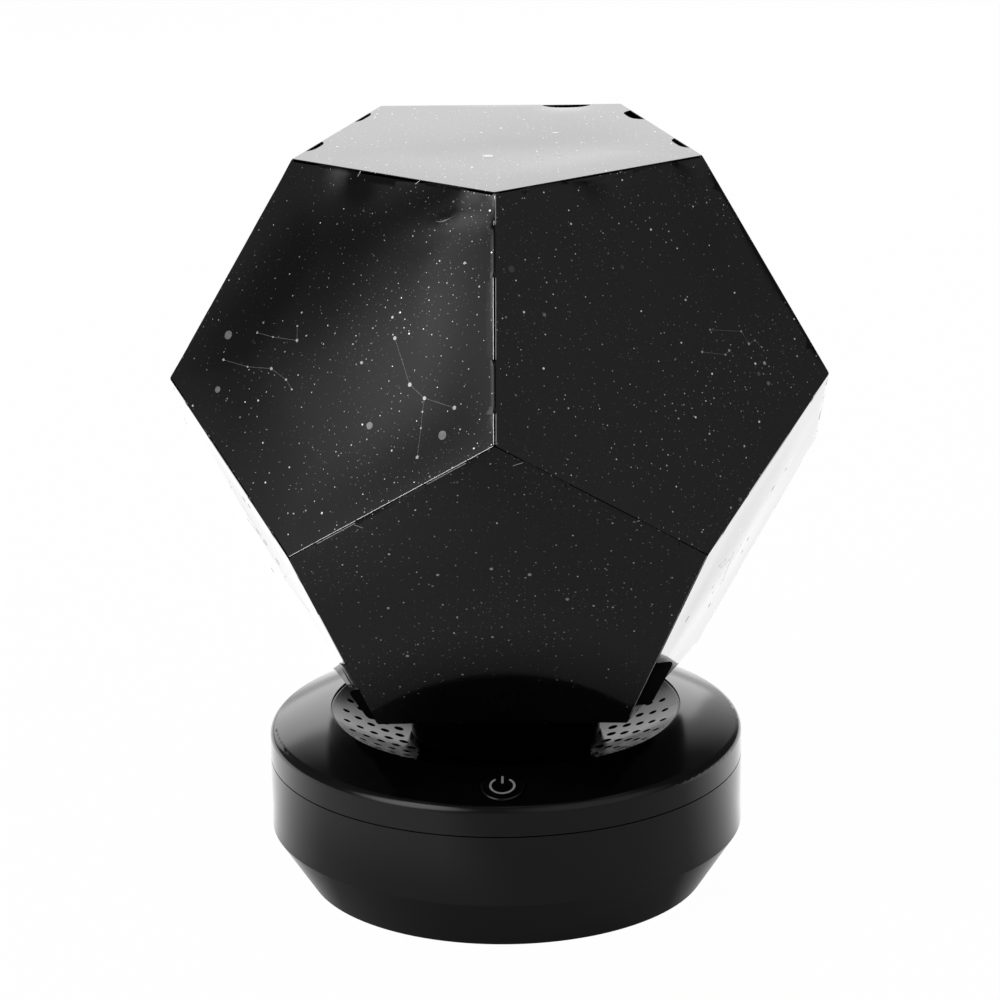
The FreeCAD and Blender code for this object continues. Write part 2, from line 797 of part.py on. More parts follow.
def gear_solid(teeth, height):
    """Involute spur gear with straight-line flanks between true points, a tooth on +X."""
    module = size.gear_module.value
    angle = math.radians(size.gear_pressure_angle.value)
    pitch = module * teeth / 2
    base = pitch * math.cos(angle)
    tip = pitch + size.gear_addendum.value
    root = pitch - size.gear_dedendum.value
    half_pitch = math.pi / teeth / 2 - size.gear_backlash.value / 4 / pitch

    def half_angle(radius):
        slope = math.acos(min(base / radius, 1))
        return half_pitch + (math.tan(angle) - angle) - (math.tan(slope) - slope)

    start = max(root, base)
    flank = [(root, half_angle(start))] if root < base else []
    for share in (0, 1 / 3, 2 / 3, 1):
        radius = start + (tip - start) * share
        flank.append((radius, half_angle(radius)))
    points = []
    for tooth in range(teeth):
        middle = 2 * math.pi * tooth / teeth
        for radius, half in flank:
            points.append((radius * math.cos(middle - half), radius * math.sin(middle - half), 0))
        for radius, half in reversed(flank):
            points.append((radius * math.cos(middle + half), radius * math.sin(middle + half), 0))
    wire = Part.makePolygon(points + points[:1])
    return Part.Face(wire).extrude(FreeCAD.Vector(0, 0, height))


def feature(name, shape, placement=None):
    thing = doc.addObject("Part::Feature", name)
    thing.Shape = shape
    if placement is not None:
        thing.Placement = placement
    return thing


pinion_height = size.gear_thickness + size.pinion_overhang * 2
pinion_low = size.gear_height - size.pinion_overhang
half_tooth = 180 / PINION_TEETH
pinion_place = FreeCAD.Placement(
    FreeCAD.Vector(motor_x.value, 0, pinion_low.value),
    FreeCAD.Rotation(FreeCAD.Vector(0, 0, 1), half_tooth))
pinion_blank = feature("pinion_blank", gear_solid(PINION_TEETH, pinion_height.value), pinion_place)
pinion_bore = cylinder("pinion_bore", size.shaft_radius, pinion_height + size.overrun * 2,
                       motor_x, 0, pinion_low - size.overrun)
keep("motor_pinion", cut("pinion", pinion_blank, pinion_bore))
shaft_low = seat_low + size.running_fit
shaft_length = pinion_low + pinion_height + size.shaft_overhang - shaft_low
keep("motor_shaft", cylinder("shaft", size.shaft_radius, shaft_length, motor_x, 0, shaft_low))

# Lamp on its stem

stem_top = globe_centre - size.led_drop - size.lamp_board_thickness
cup_low = stem_top - size.stem_cup_thickness
stem = turned("stem_wall", [
    (size.stem_bore_radius, plate_top),
    (size.stem_flange_radius, plate_top),
    (size.stem_flange_radius, flange_top),
    (size.journal_radius, flange_top),
    (size.journal_radius, size.journal_top),
    (size.stem_radius, size.journal_top + size.stem_taper),
    (size.stem_radius, cup_low - size.stem_taper),
    (size.stem_cup_radius, cup_low),
    (size.stem_cup_radius, stem_top),
    (size.stem_bore_radius, stem_top),
])
tools = [
    cylinder(f"stem_hole_{number}", small_pilot, plate_top, x, y, plate_top - size.overrun)
    for number, (x, y) in enumerate(stem_places)]
keep("lamp_stem", cut("stem", stem, *tools))
keep("stem_screws", group("stem_screw_set", *[
    screw(f"stem_screw_{number}", small_head, small_shank, x, y, flange_top, -1)
    for number, (x, y) in enumerate(stem_places)]))
keep("thrust_washer", turned("washer", [
    (size.journal_radius + size.washer_fit, flange_top),
    (size.washer_radius, flange_top),
    (size.washer_radius, flange_top + size.washer_thickness),
    (size.journal_radius + size.washer_fit, flange_top + size.washer_thickness),
]))
lamp_board_top = stem_top + size.lamp_board_thickness
keep("lamp_board", cylinder("lamp_board_disc", size.lamp_board_radius, size.lamp_board_thickness,
                            0, 0, stem_top))
led_shoulder = lamp_board_top + size.led_collar_height
keep("lamp_led", turned("led", [
    (0, lamp_board_top),
    (size.led_collar_radius, lamp_board_top),
    (size.led_collar_radius, led_shoulder),
    (size.led_radius, led_shoulder),
    (size.led_radius, globe_centre),
    (0, globe_centre + size.led_radius),
], {4: (size.led_radius, 1)}))

# Turning hub with its gear, and the ring that clamps the bottom film

hub_top = size.film_floor_height
disc_low = hub_top - size.hub_disc_thickness
skirt_low = size.dish_floor_height + size.hub_skirt_gap
skirt_inner = size.hub_radius - size.hub_skirt_wall
sleeve_low = flange_top + size.washer_thickness + size.thrust_gap
sleeve_bore = size.journal_radius + size.running_fit
spigot_inner = size.hub_spigot_radius - size.hub_spigot_wall
hub = turned("hub_section", [
    (sleeve_bore, sleeve_low),
    (size.hub_sleeve_radius, sleeve_low),
    (size.hub_sleeve_radius, disc_low),
    (skirt_inner, disc_low),
    (skirt_inner, skirt_low),
    (size.hub_radius, skirt_low),
    (size.hub_radius, hub_top - size.hub_edge_round),
    (size.hub_radius - size.hub_edge_round, hub_top),
    (size.hub_spigot_radius, hub_top),
    (size.hub_spigot_radius, hub_top + size.hub_spigot_height),
    (spigot_inner, hub_top + size.hub_spigot_height),
    (spigot_inner, hub_top),
    (sleeve_bore, hub_top),
], {6: (size.hub_edge_round, 1)})
clamp_angles = even_angles(CLAMP_SCREWS, CLAMP_START)
clamp_places = ring_places(size.clamp_screw_ring, clamp_angles)
pierce(hub, "clamp_pilots", [(small_pilot, x, y) for x, y in clamp_places],
       disc_low - size.overrun, size.hub_disc_thickness + size.overrun * 2)
keep("turntable_hub", hub)
gear_blank = feature("gear_blank", gear_solid(GEAR_TEETH, size.gear_thickness.value), FreeCAD.Placement(
    FreeCAD.Vector(0, 0, size.gear_height.value), FreeCAD.Rotation()))
keep("turntable_gear", cut("gear", gear_blank, cylinder(
    "gear_bore", size.hub_sleeve_radius, size.gear_thickness + size.overrun * 2,
    0, 0, size.gear_height - size.overrun)))
clamp_low = size.film_floor_height + size.film_thickness
clamp_top = clamp_low + size.clamp_thickness
clamp = turned("clamp_section", [
    (size.hub_spigot_radius + size.clamp_fit, clamp_low),
    (size.clamp_outer_radius, clamp_low),
    (size.clamp_outer_radius, clamp_top),
    (size.hub_spigot_radius + size.clamp_fit, clamp_top),
])
pierce(clamp, "clamp_holes", [(small_pilot, x, y) for x, y in clamp_places],
       clamp_low - size.overrun, size.clamp_thickness + size.overrun * 2)
keep("globe_clamp_ring", clamp)
keep("clamp_screws", group("clamp_screw_set", *[
    screw(f"clamp_screw_{number}", small_head, small_shank, x, y, clamp_top, -1)
    for number, (x, y) in enumerate(clamp_places)]))

# Globe of twelve films. A giving edge has two bent tabs that lie against the
# inside of the next film; a receiving edge is plain.


def pentagon_wire(apothem, height):
    """Pentagon whose first side faces +Y."""
    corner = apothem / math.cos(math.pi / FILM_SIDES)
    points = []
    for side in range(FILM_SIDES):
        angle = math.pi / 2 + math.pi / FILM_SIDES * (2 * side + 1)
        points.append(FreeCAD.Vector(corner * math.cos(angle), corner * math.sin(angle), height))
    return Part.makePolygon(points + points[:1])


def film_solid(giving, holes=()):
    """Flat film with its outer face at zero height; giving lists the sides that have tabs."""
    thickness = size.film_thickness.value
    edge = size.film_edge.value
    full = edge * apothem_share
    apothem = full - size.film_gap.value
    mitred = apothem - thickness / GOLDEN
    plate = Part.makeLoft([pentagon_wire(mitred, -thickness), pentagon_wire(apothem, 0)], True, True)
    turn = math.atan(2)
    bend = size.tab_bend_radius.value
    reach = size.tab_reach.value
    slit = size.tab_slit.value
    overrun = size.overrun.value
    width = size.tab_far.value - size.tab_near.value
    root = full - (thickness + bend * (1 - math.cos(turn))) / math.sin(turn)
    centre = FreeCAD.Vector(root, 0, -bend)
    along = FreeCAD.Vector(math.cos(turn), 0, -math.sin(turn))

    def spoke(radius, angle):
        return centre + FreeCAD.Vector(math.sin(angle), 0, math.cos(angle)) * radius

    inner = bend - thickness
    outer_points = [spoke(bend, turn * share) for share in (0, 0.5, 1)]
    inner_points = [spoke(inner, turn * share) for share in (1, 0.5, 0)]
    section = Part.Wire([
        Part.Arc(*outer_points).toShape(),
        Part.LineSegment(outer_points[-1], outer_points[-1] + along * reach).toShape(),
        Part.LineSegment(outer_points[-1] + along * reach, inner_points[0] + along * reach).toShape(),
        Part.LineSegment(inner_points[0] + along * reach, inner_points[0]).toShape(),
        Part.Arc(*inner_points).toShape(),
        Part.LineSegment(inner_points[-1], outer_points[0]).toShape(),
    ])
    tabs = []
    notches = []
    for side in giving:
        for start in (-edge / 2 + size.tab_near.value, edge / 2 - size.tab_far.value):
            tab = Part.Face(section).extrude(FreeCAD.Vector(0, width, 0))
            tab.translate(FreeCAD.Vector(0, start, 0))
            notch = Part.makeBox(overrun, width + slit * 2, overrun * 2,
                                 FreeCAD.Vector(root, start - slit, -overrun))
            for piece in (tab, notch):
                piece.rotate(FreeCAD.Vector(0, 0, 0), FreeCAD.Vector(0, 0, 1), 90 + 360 / FILM_SIDES * side)
            tabs.append(tab)
            notches.append(notch)
    if notches:
        plate = plate.cut(notches)
        plate = plate.fuse(tabs).removeSplitter()
    for radius, x, y in holes:
        plate = plate.cut(Part.makeCylinder(radius, overrun * 2, FreeCAD.Vector(x, y, -overrun)))
    return plate.Solids[0]


yaw = size.globe_yaw.value
face_tilt = math.degrees(math.atan(2))
about_x = FreeCAD.Vector(1, 0, 0)
about_z = FreeCAD.Vector(0, 0, 1)
film_reach = size.film_edge.value * inradius_share


def film(label, shape, turning):
    """Puts a film on its side of the globe."""
    middle = FreeCAD.Vector(0, 0, globe_centre.value)
    base = middle + turning.multVec(FreeCAD.Vector(0, 0, film_reach))
    keep(label, feature(label + "_sheet", shape, FreeCAD.Placement(base, turning)))


film("film_top", film_solid(()), FreeCAD.Rotation(about_z, yaw))
upper_film = film_solid((0, 4))
lower_film = film_solid((0, 1, 2, 3))
for side in range(FILM_SIDES):
    spin = yaw + 360 / FILM_SIDES * side
    film(f"film_upper_{side + 1}", upper_film.copy(),
         FreeCAD.Rotation(about_z, spin + 180 / FILM_SIDES) * FreeCAD.Rotation(about_x, face_tilt))
    film(f"film_lower_{side + 1}", lower_film.copy(),
         FreeCAD.Rotation(about_z, spin) * FreeCAD.Rotation(about_x, 180 - face_tilt)
         * FreeCAD.Rotation(about_z, 180))
bottom_holes = [((size.hub_spigot_radius + size.clamp_fit).value, 0, 0)]
for angle in clamp_angles:
    away = math.radians(yaw - angle.value)
    ring_radius = size.clamp_screw_ring.value
    bottom_holes.append((small_pilot.value, ring_radius * math.cos(away), ring_radius * math.sin(away)))
film("film_bottom", film_solid((), bottom_holes),
     FreeCAD.Rotation(about_z, yaw) * FreeCAD.Rotation(about_x, 180))

# Power button with its switch

ear_low = -size.shell_wall - size.dome_bulge - size.button_ear_gap - size.button_ear_height
cap_body = turned("button_cap_section", [
    (0, ear_low),
    (size.button_radius, ear_low),
    (size.button_radius, size.button_proud - size.button_round),
    (size.button_radius - size.button_round, size.button_proud),
    (0, size.button_proud),
], {2: (size.button_round, 1)})
on_button(cap_body)
switch_top = -size.switch_board_drop + size.switch_height
plunger_top = switch_top + size.plunger_show
ear_bar = on_button(block("button_ear_bar", size.button_ear_reach * 2, size.button_ear_width,
                          size.button_ear_height),
                    -size.button_ear_reach, -size.button_ear_width / 2, ear_low)
button_stem = on_button(cylinder("button_stem", size.button_stem_radius, ear_low - plunger_top),
                        z=plunger_top)
cap_solid = fuse("button_solid", cap_body, ear_bar, button_stem)


def symbol_solid(name):
    """Open ring with a bar through the opening."""
    low = size.button_proud - size.symbol_depth
    disc = cylinder(name + "_disc", size.symbol_radius, size.symbol_depth)
    bind(disc, "Angle", 360 - size.symbol_opening_angle)
    disc.Placement = FreeCAD.Placement(
        FreeCAD.Vector(0, 0, 0), FreeCAD.Rotation(about_z, 90 + size.symbol_opening_angle.value / 2))
    bind(disc, "Placement.Rotation.Angle", 90 + size.symbol_opening_angle / 2)
    hollow = cylinder(name + "_hollow", size.symbol_radius - size.symbol_stroke, size.symbol_depth)
    bar = block(name + "_bar", size.symbol_stroke, size.symbol_bar_outer - size.symbol_bar_inner,
                size.symbol_depth, -size.symbol_stroke / 2, size.symbol_bar_inner)
    return on_button(group(name, cut(name + "_ring", disc, hollow), bar), z=low)


keep("power_button", cut("button", cap_solid, symbol_solid("symbol_recess")))
keep("button_symbol", symbol_solid("symbol"))
plunger_reach = size.plunger_length - size.plunger_show
housing = on_button(block("switch_housing", size.switch_side, size.switch_side, size.switch_height),
                    -size.switch_side / 2, -size.switch_side / 2, -size.switch_board_drop)
socket_depth = plunger_reach + size.button_travel + size.plunger_fit
socket = on_button(cylinder("switch_socket", size.plunger_radius + size.plunger_fit,
                            socket_depth + size.overrun), z=switch_top - socket_depth)
keep("tact_switch", cut("switch", housing, socket))
keep("switch_plunger", on_button(cylinder("plunger", size.plunger_radius, size.plunger_length),
                                 z=plunger_top - size.plunger_length))
switch_board_reach = size.switch_rib_inner + size.switch_rib_thickness
keep("switch_board", on_button(
    block("switch_board_plate", switch_board_reach * 2, size.switch_rib_width, size.switch_board_thickness),
    -switch_board_reach, -size.switch_rib_width / 2, -size.switch_board_drop - size.switch_board_thickness))

# Cell in its holder

holder_half = size.cell_length / 2 + size.contact_thickness + size.holder_end_wall
cell_height = floor_top + size.holder_floor + size.cell_radius
cavity_half = size.cell_length / 2 + size.contact_thickness
holder = block("holder_block", holder_half * 2, size.holder_half_width * 2, size.holder_height,
               -holder_half, -size.cell_offset - size.holder_half_width, floor_top)
hollow = block("holder_hollow", cavity_half * 2, (size.holder_half_width - size.holder_side_wall) * 2,
               size.holder_height, -cavity_half,
               -size.cell_offset - size.holder_half_width + size.holder_side_wall,
               floor_top + size.holder_floor)
keep("battery_holder", cut("holder", holder, hollow))
contact_low = cell_height - size.contact_side / 2
contacts = [
    block(f"contact_{number}", size.contact_thickness, size.contact_side, size.contact_side,
          x, -size.cell_offset - size.contact_side / 2, contact_low)
    for number, x in enumerate((-cavity_half, cavity_half - size.contact_thickness))]
keep("battery_contacts", group("contact_pair", *contacts))
can_length = size.cell_length - size.cell_button_height
cell = turned("cell_section", [
    (0, 0),
    (size.cell_radius - size.cell_round, 0),
    (size.cell_radius, size.cell_round),
    (size.cell_radius, can_length - size.cell_round),
    (size.cell_radius - size.cell_round, can_length),
    (size.cell_button_radius, can_length),
    (size.cell_button_radius, size.cell_length),
    (0, size.cell_length),
], {1: (size.cell_round, 1), 3: (size.cell_round, 1)})
keep("battery_cell", place(cell, -size.cell_length / 2, -size.cell_offset, cell_height, (0, 1, 0), 90))

# Main board and inlet

board_width = size.board_half_width * 2
board = block("board_plate", board_width, size.board_back - size.board_front, size.board_thickness,
              -size.board_half_width, size.board_front, size.board_height)
keep("main_board", cut("board", board, *[
    cylinder(f"board_hole_{number}", small_pilot, size.board_height * 2, x, y, 0)
    for number, (x, y) in enumerate(board_places)]))
keep("board_screws", group("board_screw_set", *[
    screw(f"board_screw_{number}", small_head, small_shank, x, y, board_top, -1)
    for number, (x, y) in enumerate(board_places)]))
chip_pitch = size.chip_side + size.chip_gap
chips = [
    block(f"chip_{number}", size.chip_side, size.chip_side, size.chip_height,
          -size.chip_side / 2, size.chip_front + chip_pitch * number, board_top)
    for number in range(2)]
coil = cylinder("coil", size.coil_radius, size.coil_height, size.board_post_side - size.coil_radius / 2,
                (size.board_post_front + size.board_post_back) / 2, board_top)
keep("board_parts", group("board_part_set", coil, *chips))
port_back = size.base_radius - size.port_recess
port_front = port_back - size.port_length
port = block("port_outside", size.port_width, size.port_length, size.port_height,
             -size.port_width / 2, port_front, board_top)
port_inside = block("port_inside", size.port_width - size.port_wall * 2, size.port_length,
                    size.port_height - size.port_wall * 2, -size.port_width / 2 + size.port_wall,
                    port_front + size.port_wall * 2, board_top + size.port_wall)
tongue = block("port_tongue", size.port_tongue_width, size.port_tongue_length, size.port_tongue_thickness,
               -size.port_tongue_width / 2, port_front + size.port_wall,
               board_middle - size.port_tongue_thickness / 2)
keep("usb_port", fuse("port", cut("port_shell", port, port_inside), tongue))

# Speaker below the grille

flange_low = size.speaker_top - size.speaker_flange
basket_low = flange_low - size.basket_depth
basket_waist = size.speaker_radius - size.speaker_flange_width
basket = turned("basket_section", [
    (size.basket_hole_radius, basket_low),
    (size.basket_base_radius, basket_low),
    (basket_waist + size.basket_wall, flange_low),
    (size.speaker_radius, flange_low),
    (size.speaker_radius, size.speaker_top),
    (basket_waist, size.speaker_top),
    (size.basket_base_radius - size.basket_wall, basket_low + size.basket_wall),
    (size.basket_hole_radius, basket_low + size.basket_wall),
])
keep("speaker_basket", place(basket, 0, size.speaker_offset))
keep("speaker_magnet", cylinder("magnet", size.magnet_radius, size.magnet_height,
                                0, size.speaker_offset, basket_low - size.magnet_height))
cone_low = size.speaker_top - size.cone_drop
cone_top = size.speaker_top + size.cone_thickness
cone = turned("cone_section", [
    (0, cone_low),
    (size.cone_cap_radius, cone_low),
    (size.cone_rim_inner, size.speaker_top),
    (size.speaker_radius, size.speaker_top),
    (size.speaker_radius, cone_top),
    (size.cone_rim_inner - size.cone_thickness, cone_top),
    (size.cone_cap_radius - size.cone_thickness, cone_low + size.cone_thickness),
    (0, cone_low + size.cone_thickness),
])
keep("speaker_cone", place(cone, 0, size.speaker_offset))

doc.recompute()
faults = []
for thing in doc.Objects:
    if "Invalid" in thing.State or "Error" in thing.State:
        faults.append(f"{thing.Name}: {thing.State}")
for label, thing in parts.items():
    shape = thing.Shape
    if shape.isNull() or not shape.isValid():
        faults.append(f"{label}: shape")
if faults:
    raise RuntimeError("faulty objects: " + "; ".join(faults))
os.makedirs("parts", exist_ok=True)
for label, thing in parts.items():
    thing.Shape.exportStep(f"parts/{label}.step")
    box = thing.Shape.BoundBox
    print(f"{label}: {len(thing.Shape.Solids)} solids, {thing.Shape.Volume:.1f} mm3, "
          f"z {box.ZMin:.2f} to {box.ZMax:.2f}")
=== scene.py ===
import math
import random

import bpy
from mathutils import Matrix, Vector
from mathutils.geometry import delaunay_2d_cdt


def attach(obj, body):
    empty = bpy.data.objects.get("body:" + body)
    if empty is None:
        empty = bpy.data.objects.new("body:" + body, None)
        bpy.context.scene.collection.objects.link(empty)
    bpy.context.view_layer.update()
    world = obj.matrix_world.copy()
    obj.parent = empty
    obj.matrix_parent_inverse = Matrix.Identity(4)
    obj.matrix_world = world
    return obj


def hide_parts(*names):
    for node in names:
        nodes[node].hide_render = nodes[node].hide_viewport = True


# Looks of the planetarium projector around its CAD frame. Film shapes are worked
# out in millimetres and written in metres.

MM = 0.001

# Globe: a twelve-sided body of pentagons, the height of its lowest face, the bend
# between two faces and the hole for the hub.
SIDES = 5
EDGE = 61.0
GLOBE_FOOT = 55.0
GOLDEN = (1 + math.sqrt(5)) / 2
APOTHEM = EDGE * 0.5 / math.tan(math.pi / SIDES)
INRADIUS = EDGE * GOLDEN ** 2 / (2 * math.sqrt(3 - GOLDEN))
GLOBE_CENTRE = GLOBE_FOOT + INRADIUS
TURN = math.atan(2)
HUB_HOLE = 16.95

# Sheets: thickness, gap to the ideal edge, how far in the waves reach their full
# height, how far in a dip reaches, and the angle in degrees that shades as a crease.
SHEET = 0.2
GAP = 0.16
TAPER = 22.0
DIP_REACH = 5.0
CRISP_ANGLE = 40

# Tabs: places along a side, inner bend, play under the next film, length past the
# bend, slit beside the root, and how far out a stronger bend starts, per radian.
TAB_ZONES = ((-22.4, -10.1), (10.1, 22.4))
TAB_BEND = 0.3
TUCK_PLAY = 0.02
TAB_REACH = 4.5
SLIT = 0.04
ADVANCE = 1.1
ROOT = -(SHEET + TUCK_PLAY + TAB_BEND * (1 - math.cos(TURN))) / math.sin(TURN)

# Cut outline: steps in from a corner, the hooked end of a slit as (away from the
# tab, below its root), and the cut corners of a tab.
CORNER_START = 0.3
CORNER_END = 0.8
HOOK_OUTER = (0.75, 0.85)
HOOK_INNER = (0.68, 0.93)
SHOULDER = 0.15
CHAMFER = 1.4
BEVEL = (0.45, 0.4)
BITE_STEPS = 12

# Points inside a sheet: their spacing, the height of a row as a share of it, the
# band along the sides with rows of its own (inset, spacing), and those on a tab.
POINT_STEP = 1.9
ROW_SHARE = 0.866
BAND = 3.9
BAND_ROWS = ((1.25, 2.3), (2.7, 2.25))
BAND_HALF_COUNT = 12
BEND_ROWS = 8
FLAT_ROWS = (1.4, 2.8)
TAB_COLUMNS = 8
ROOT_MARGIN = 0.05
END_MARGIN = 0.4
SIDE_PLAY = 0.05

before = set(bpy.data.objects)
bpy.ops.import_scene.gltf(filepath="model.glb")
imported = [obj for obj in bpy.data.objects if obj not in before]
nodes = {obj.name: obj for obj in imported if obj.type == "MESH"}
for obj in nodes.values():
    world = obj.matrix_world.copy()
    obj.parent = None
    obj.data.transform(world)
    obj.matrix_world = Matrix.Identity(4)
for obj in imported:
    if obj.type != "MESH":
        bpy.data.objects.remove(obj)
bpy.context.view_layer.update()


# Materials

# Sockets of the Mix node that carry colours.
MIX_COLOURS = (6, 7)
MIX_RESULT = 2


class Material:
    """A node material under construction."""

    def __init__(self, name, color=(0.8, 0.8, 0.8), roughness=0.5, ior=1.5, metallic=0.0):
        self.data = bpy.data.materials.new(name)
        self.data.use_nodes = True
        self.tree = self.data.node_tree
        self.shader = self.tree.nodes["Principled BSDF"]
        self.set("Base Color", (*color, 1))
        self.set("Roughness", roughness)
        self.set("IOR", ior)
        self.set("Metallic", metallic)

    def set(self, socket, value):
        self.shader.inputs[socket].default_value = value

    def node(self, kind, **settings):
        node = self.tree.nodes.new(kind)
        for key, value in settings.items():
            setattr(node, key, value)
        return node

    def link(self, source, target):
        self.tree.links.new(source, target)

    def coords(self, kind="Object"):
        return self.node("ShaderNodeTexCoord").outputs[kind]

    def noise(self, scale, detail=2.0, vector=None):
        node = self.node("ShaderNodeTexNoise")
        node.inputs["Scale"].default_value = scale
        node.inputs["Detail"].default_value = detail
        self.link(vector or self.coords(), node.inputs["Vector"])
        return node.outputs["Fac"]

    def spread(self, source, low, high, start=0.0, end=1.0):
        """Maps a value from start-end to low-high."""
        node = self.node("ShaderNodeMapRange")
        for name, value in (("From Min", start), ("From Max", end), ("To Min", low), ("To Max", high)):
            node.inputs[name].default_value = value
        self.link(source, node.inputs["Value"])
        return node.outputs["Result"]

    def combine(self, operation, first, second):
        """Result of a maths operation on numbers or sockets."""
        node = self.node("ShaderNodeMath", operation=operation)
        for index, value in enumerate((first, second)):
            if isinstance(value, (int, float)):
                node.inputs[index].default_value = value
            else:
                self.link(value, node.inputs[index])
        return node.outputs[0]

    def bump(self, height, strength, distance, under=None):
        node = self.node("ShaderNodeBump")
        node.inputs["Strength"].default_value = strength
        node.inputs["Distance"].default_value = distance
        self.link(height, node.inputs["Height"])
        if under is not None:
            self.link(under, node.inputs["Normal"])
        return node.outputs["Normal"]

    def blend(self, factor, first, second):
        """Colour mixed from first to second; either may be a plain colour or a socket."""
        node = self.node("ShaderNodeMix", data_type="RGBA")
        self.link(factor, node.inputs[0])
        for index, value in zip(MIX_COLOURS, (first, second)):
            if isinstance(value, tuple):
                node.inputs[index].default_value = (*value, 1)
            else:
                self.link(value, node.inputs[index])
        return node.outputs[MIX_RESULT]


# The part of a noise's range where most of its values lie.
NOISE_SPAN = (0.3, 0.7)


def moulded(name, dark, light, roughness, grain=900.0, grain_depth=0.00002, strength=0.15, ior=1.46):
    """Moulded plastic with a fine grain and slightly uneven gloss."""
    made = Material(name, dark, roughness, ior)
    patches = made.noise(35.0, 3.0)
    made.link(made.blend(patches, dark, light), made.shader.inputs["Base Color"])
    made.link(made.spread(made.noise(60.0, 4.0), roughness * 0.85, roughness * 1.15, *NOISE_SPAN),
              made.shader.inputs["Roughness"])
    made.link(made.bump(made.noise(grain, 2.0), strength, grain_depth), made.shader.inputs["Normal"])
    return made


def metal(name, dark, light, roughness, stretch=(1, 1, 30)):
    """Drawn or plated metal with fine lines along one axis."""
    made = Material(name, dark, roughness, ior=1.5, metallic=1.0)
    mapping = made.node("ShaderNodeMapping")
    mapping.inputs["Scale"].default_value = stretch
    made.link(made.coords(), mapping.inputs["Vector"])
    lines = made.noise(300.0, 3.0, mapping.outputs[0])
    made.link(made.blend(lines, dark, light), made.shader.inputs["Base Color"])
    made.link(made.spread(lines, roughness * 0.7, roughness * 1.3, *NOISE_SPAN),
              made.shader.inputs["Roughness"])
    made.link(made.bump(lines, 0.1, 0.00002), made.shader.inputs["Normal"])
    return made


# Star print in millimetres: layers of (cell, smallest and largest radius, share of
# cells with a star, dimmest and brightest), the shift of a layer, and the clusters.
STAR_LAYERS = (
    (1.15, (0.07, 0.15), 0.42, (0.02, 0.16)),
    (2.1, (0.09, 0.19), 0.4, (0.06, 0.5)),
    (4.6, (0.13, 0.28), 0.38, (0.14, 0.85)),
    (15.0, (0.4, 0.8), 0.04, (0.03, 0.1)),
)
LAYER_SHIFT = (13.7, 7.1)
CLUSTER_SCALE = 0.045
CLUSTER_SHARES = (0.25, 1.8)
CLUSTER_SPAN = (0.35, 0.65)
# Brightness from which the print counts as metal, and roughness of film and print.
PRINT_LEVEL = 0.01
FILM_ROUGHNESS = (0.07, 0.11)
PRINT_ROUGHNESS = 0.12


def star_layer(made, vector, cell, radius, share, level, seed):
    """Round marks on a jittered grid: returns their brightness. Sizes are in millimetres."""
    shifted = made.node("ShaderNodeVectorMath", operation="ADD")
    made.link(vector, shifted.inputs[0])
    shifted.inputs[1].default_value = (seed * LAYER_SHIFT[0], seed * LAYER_SHIFT[1], 0)
    cells = made.node("ShaderNodeTexVoronoi", voronoi_dimensions="2D", feature="F1")
    cells.inputs["Scale"].default_value = 1 / cell
    made.link(shifted.outputs[0], cells.inputs["Vector"])
    split = made.node("ShaderNodeSeparateColor")
    made.link(cells.outputs["Color"], split.inputs[0])
    cluster = made.noise(CLUSTER_SCALE, 1.0, shifted.outputs[0])
    fewest, most = (share * part for part in CLUSTER_SHARES)
    present = made.combine("LESS_THAN", split.outputs[0], made.spread(cluster, fewest, most, *CLUSTER_SPAN))
    size = made.spread(made.combine("POWER", split.outputs[1], 3.0), radius[0] / cell, radius[1] / cell)
    inside = made.combine("LESS_THAN", cells.outputs["Distance"], size)
    shade = made.spread(split.outputs[2], *level)
    return made.combine("MULTIPLY", made.combine("MULTIPLY", inside, present), shade)


def star_film():
    """Black glossy film with silvery printed stars, laid out in the film's own millimetres."""
    black = (0.001, 0.001, 0.0012)
    silvery = (0.95, 0.95, 0.97)
    made = Material("star_film", black, roughness=0.1, ior=1.36)
    flat = made.coords("UV")
    stars = star_layer(made, flat, *STAR_LAYERS[0], 1)
    for seed, layer in enumerate(STAR_LAYERS[1:], 2):
        stars = made.combine("MAXIMUM", stars, star_layer(made, flat, *layer, seed))
    made.link(made.blend(stars, black, silvery), made.shader.inputs["Base Color"])
    made.link(made.combine("GREATER_THAN", stars, PRINT_LEVEL), made.shader.inputs["Metallic"])
    gloss = made.spread(made.noise(25.0, 3.0), *FILM_ROUGHNESS, *NOISE_SPAN)
    rougher = made.combine("MULTIPLY", stars, PRINT_ROUGHNESS)
    made.link(made.combine("ADD", gloss, rougher), made.shader.inputs["Roughness"])
    waves = made.bump(made.noise(28.0, 1.0), 0.12, 0.0012)
    made.link(made.bump(made.noise(1600.0, 2.0), 0.04, 0.00002, waves), made.shader.inputs["Normal"])
    return made


def silver(name, dark, light, roughness):
    """Silvery print laid over the film."""
    made = Material(name, dark, roughness, ior=1.4, metallic=1.0)
    made.link(made.blend(made.noise(700.0, 2.0), dark, light), made.shader.inputs["Base Color"])
    made.link(made.bump(made.noise(900.0, 2.0), 0.08, 0.00002), made.shader.inputs["Normal"])
    return made


# Dark and light tone of the black plastic.
BLACK_TONES = ((0.0006, 0.0006, 0.0007), (0.0014, 0.0014, 0.0016))
# In front of the hub the dish's gloss is masked away: painted shade that stands in for
# the hub's dark reflection, as the photo shows it black there. The mask fades sideways
# and towards the rear, in metres.
SHADE_SIDE = (0.0215, 0.0235)
SHADE_REAR = (0.0, 0.004)
# Painted dark reflection: tone of the power symbol where it is seen in reflections.
PAINTED_SYMBOL_REFLECTION = (0.01, 0.01, 0.01)


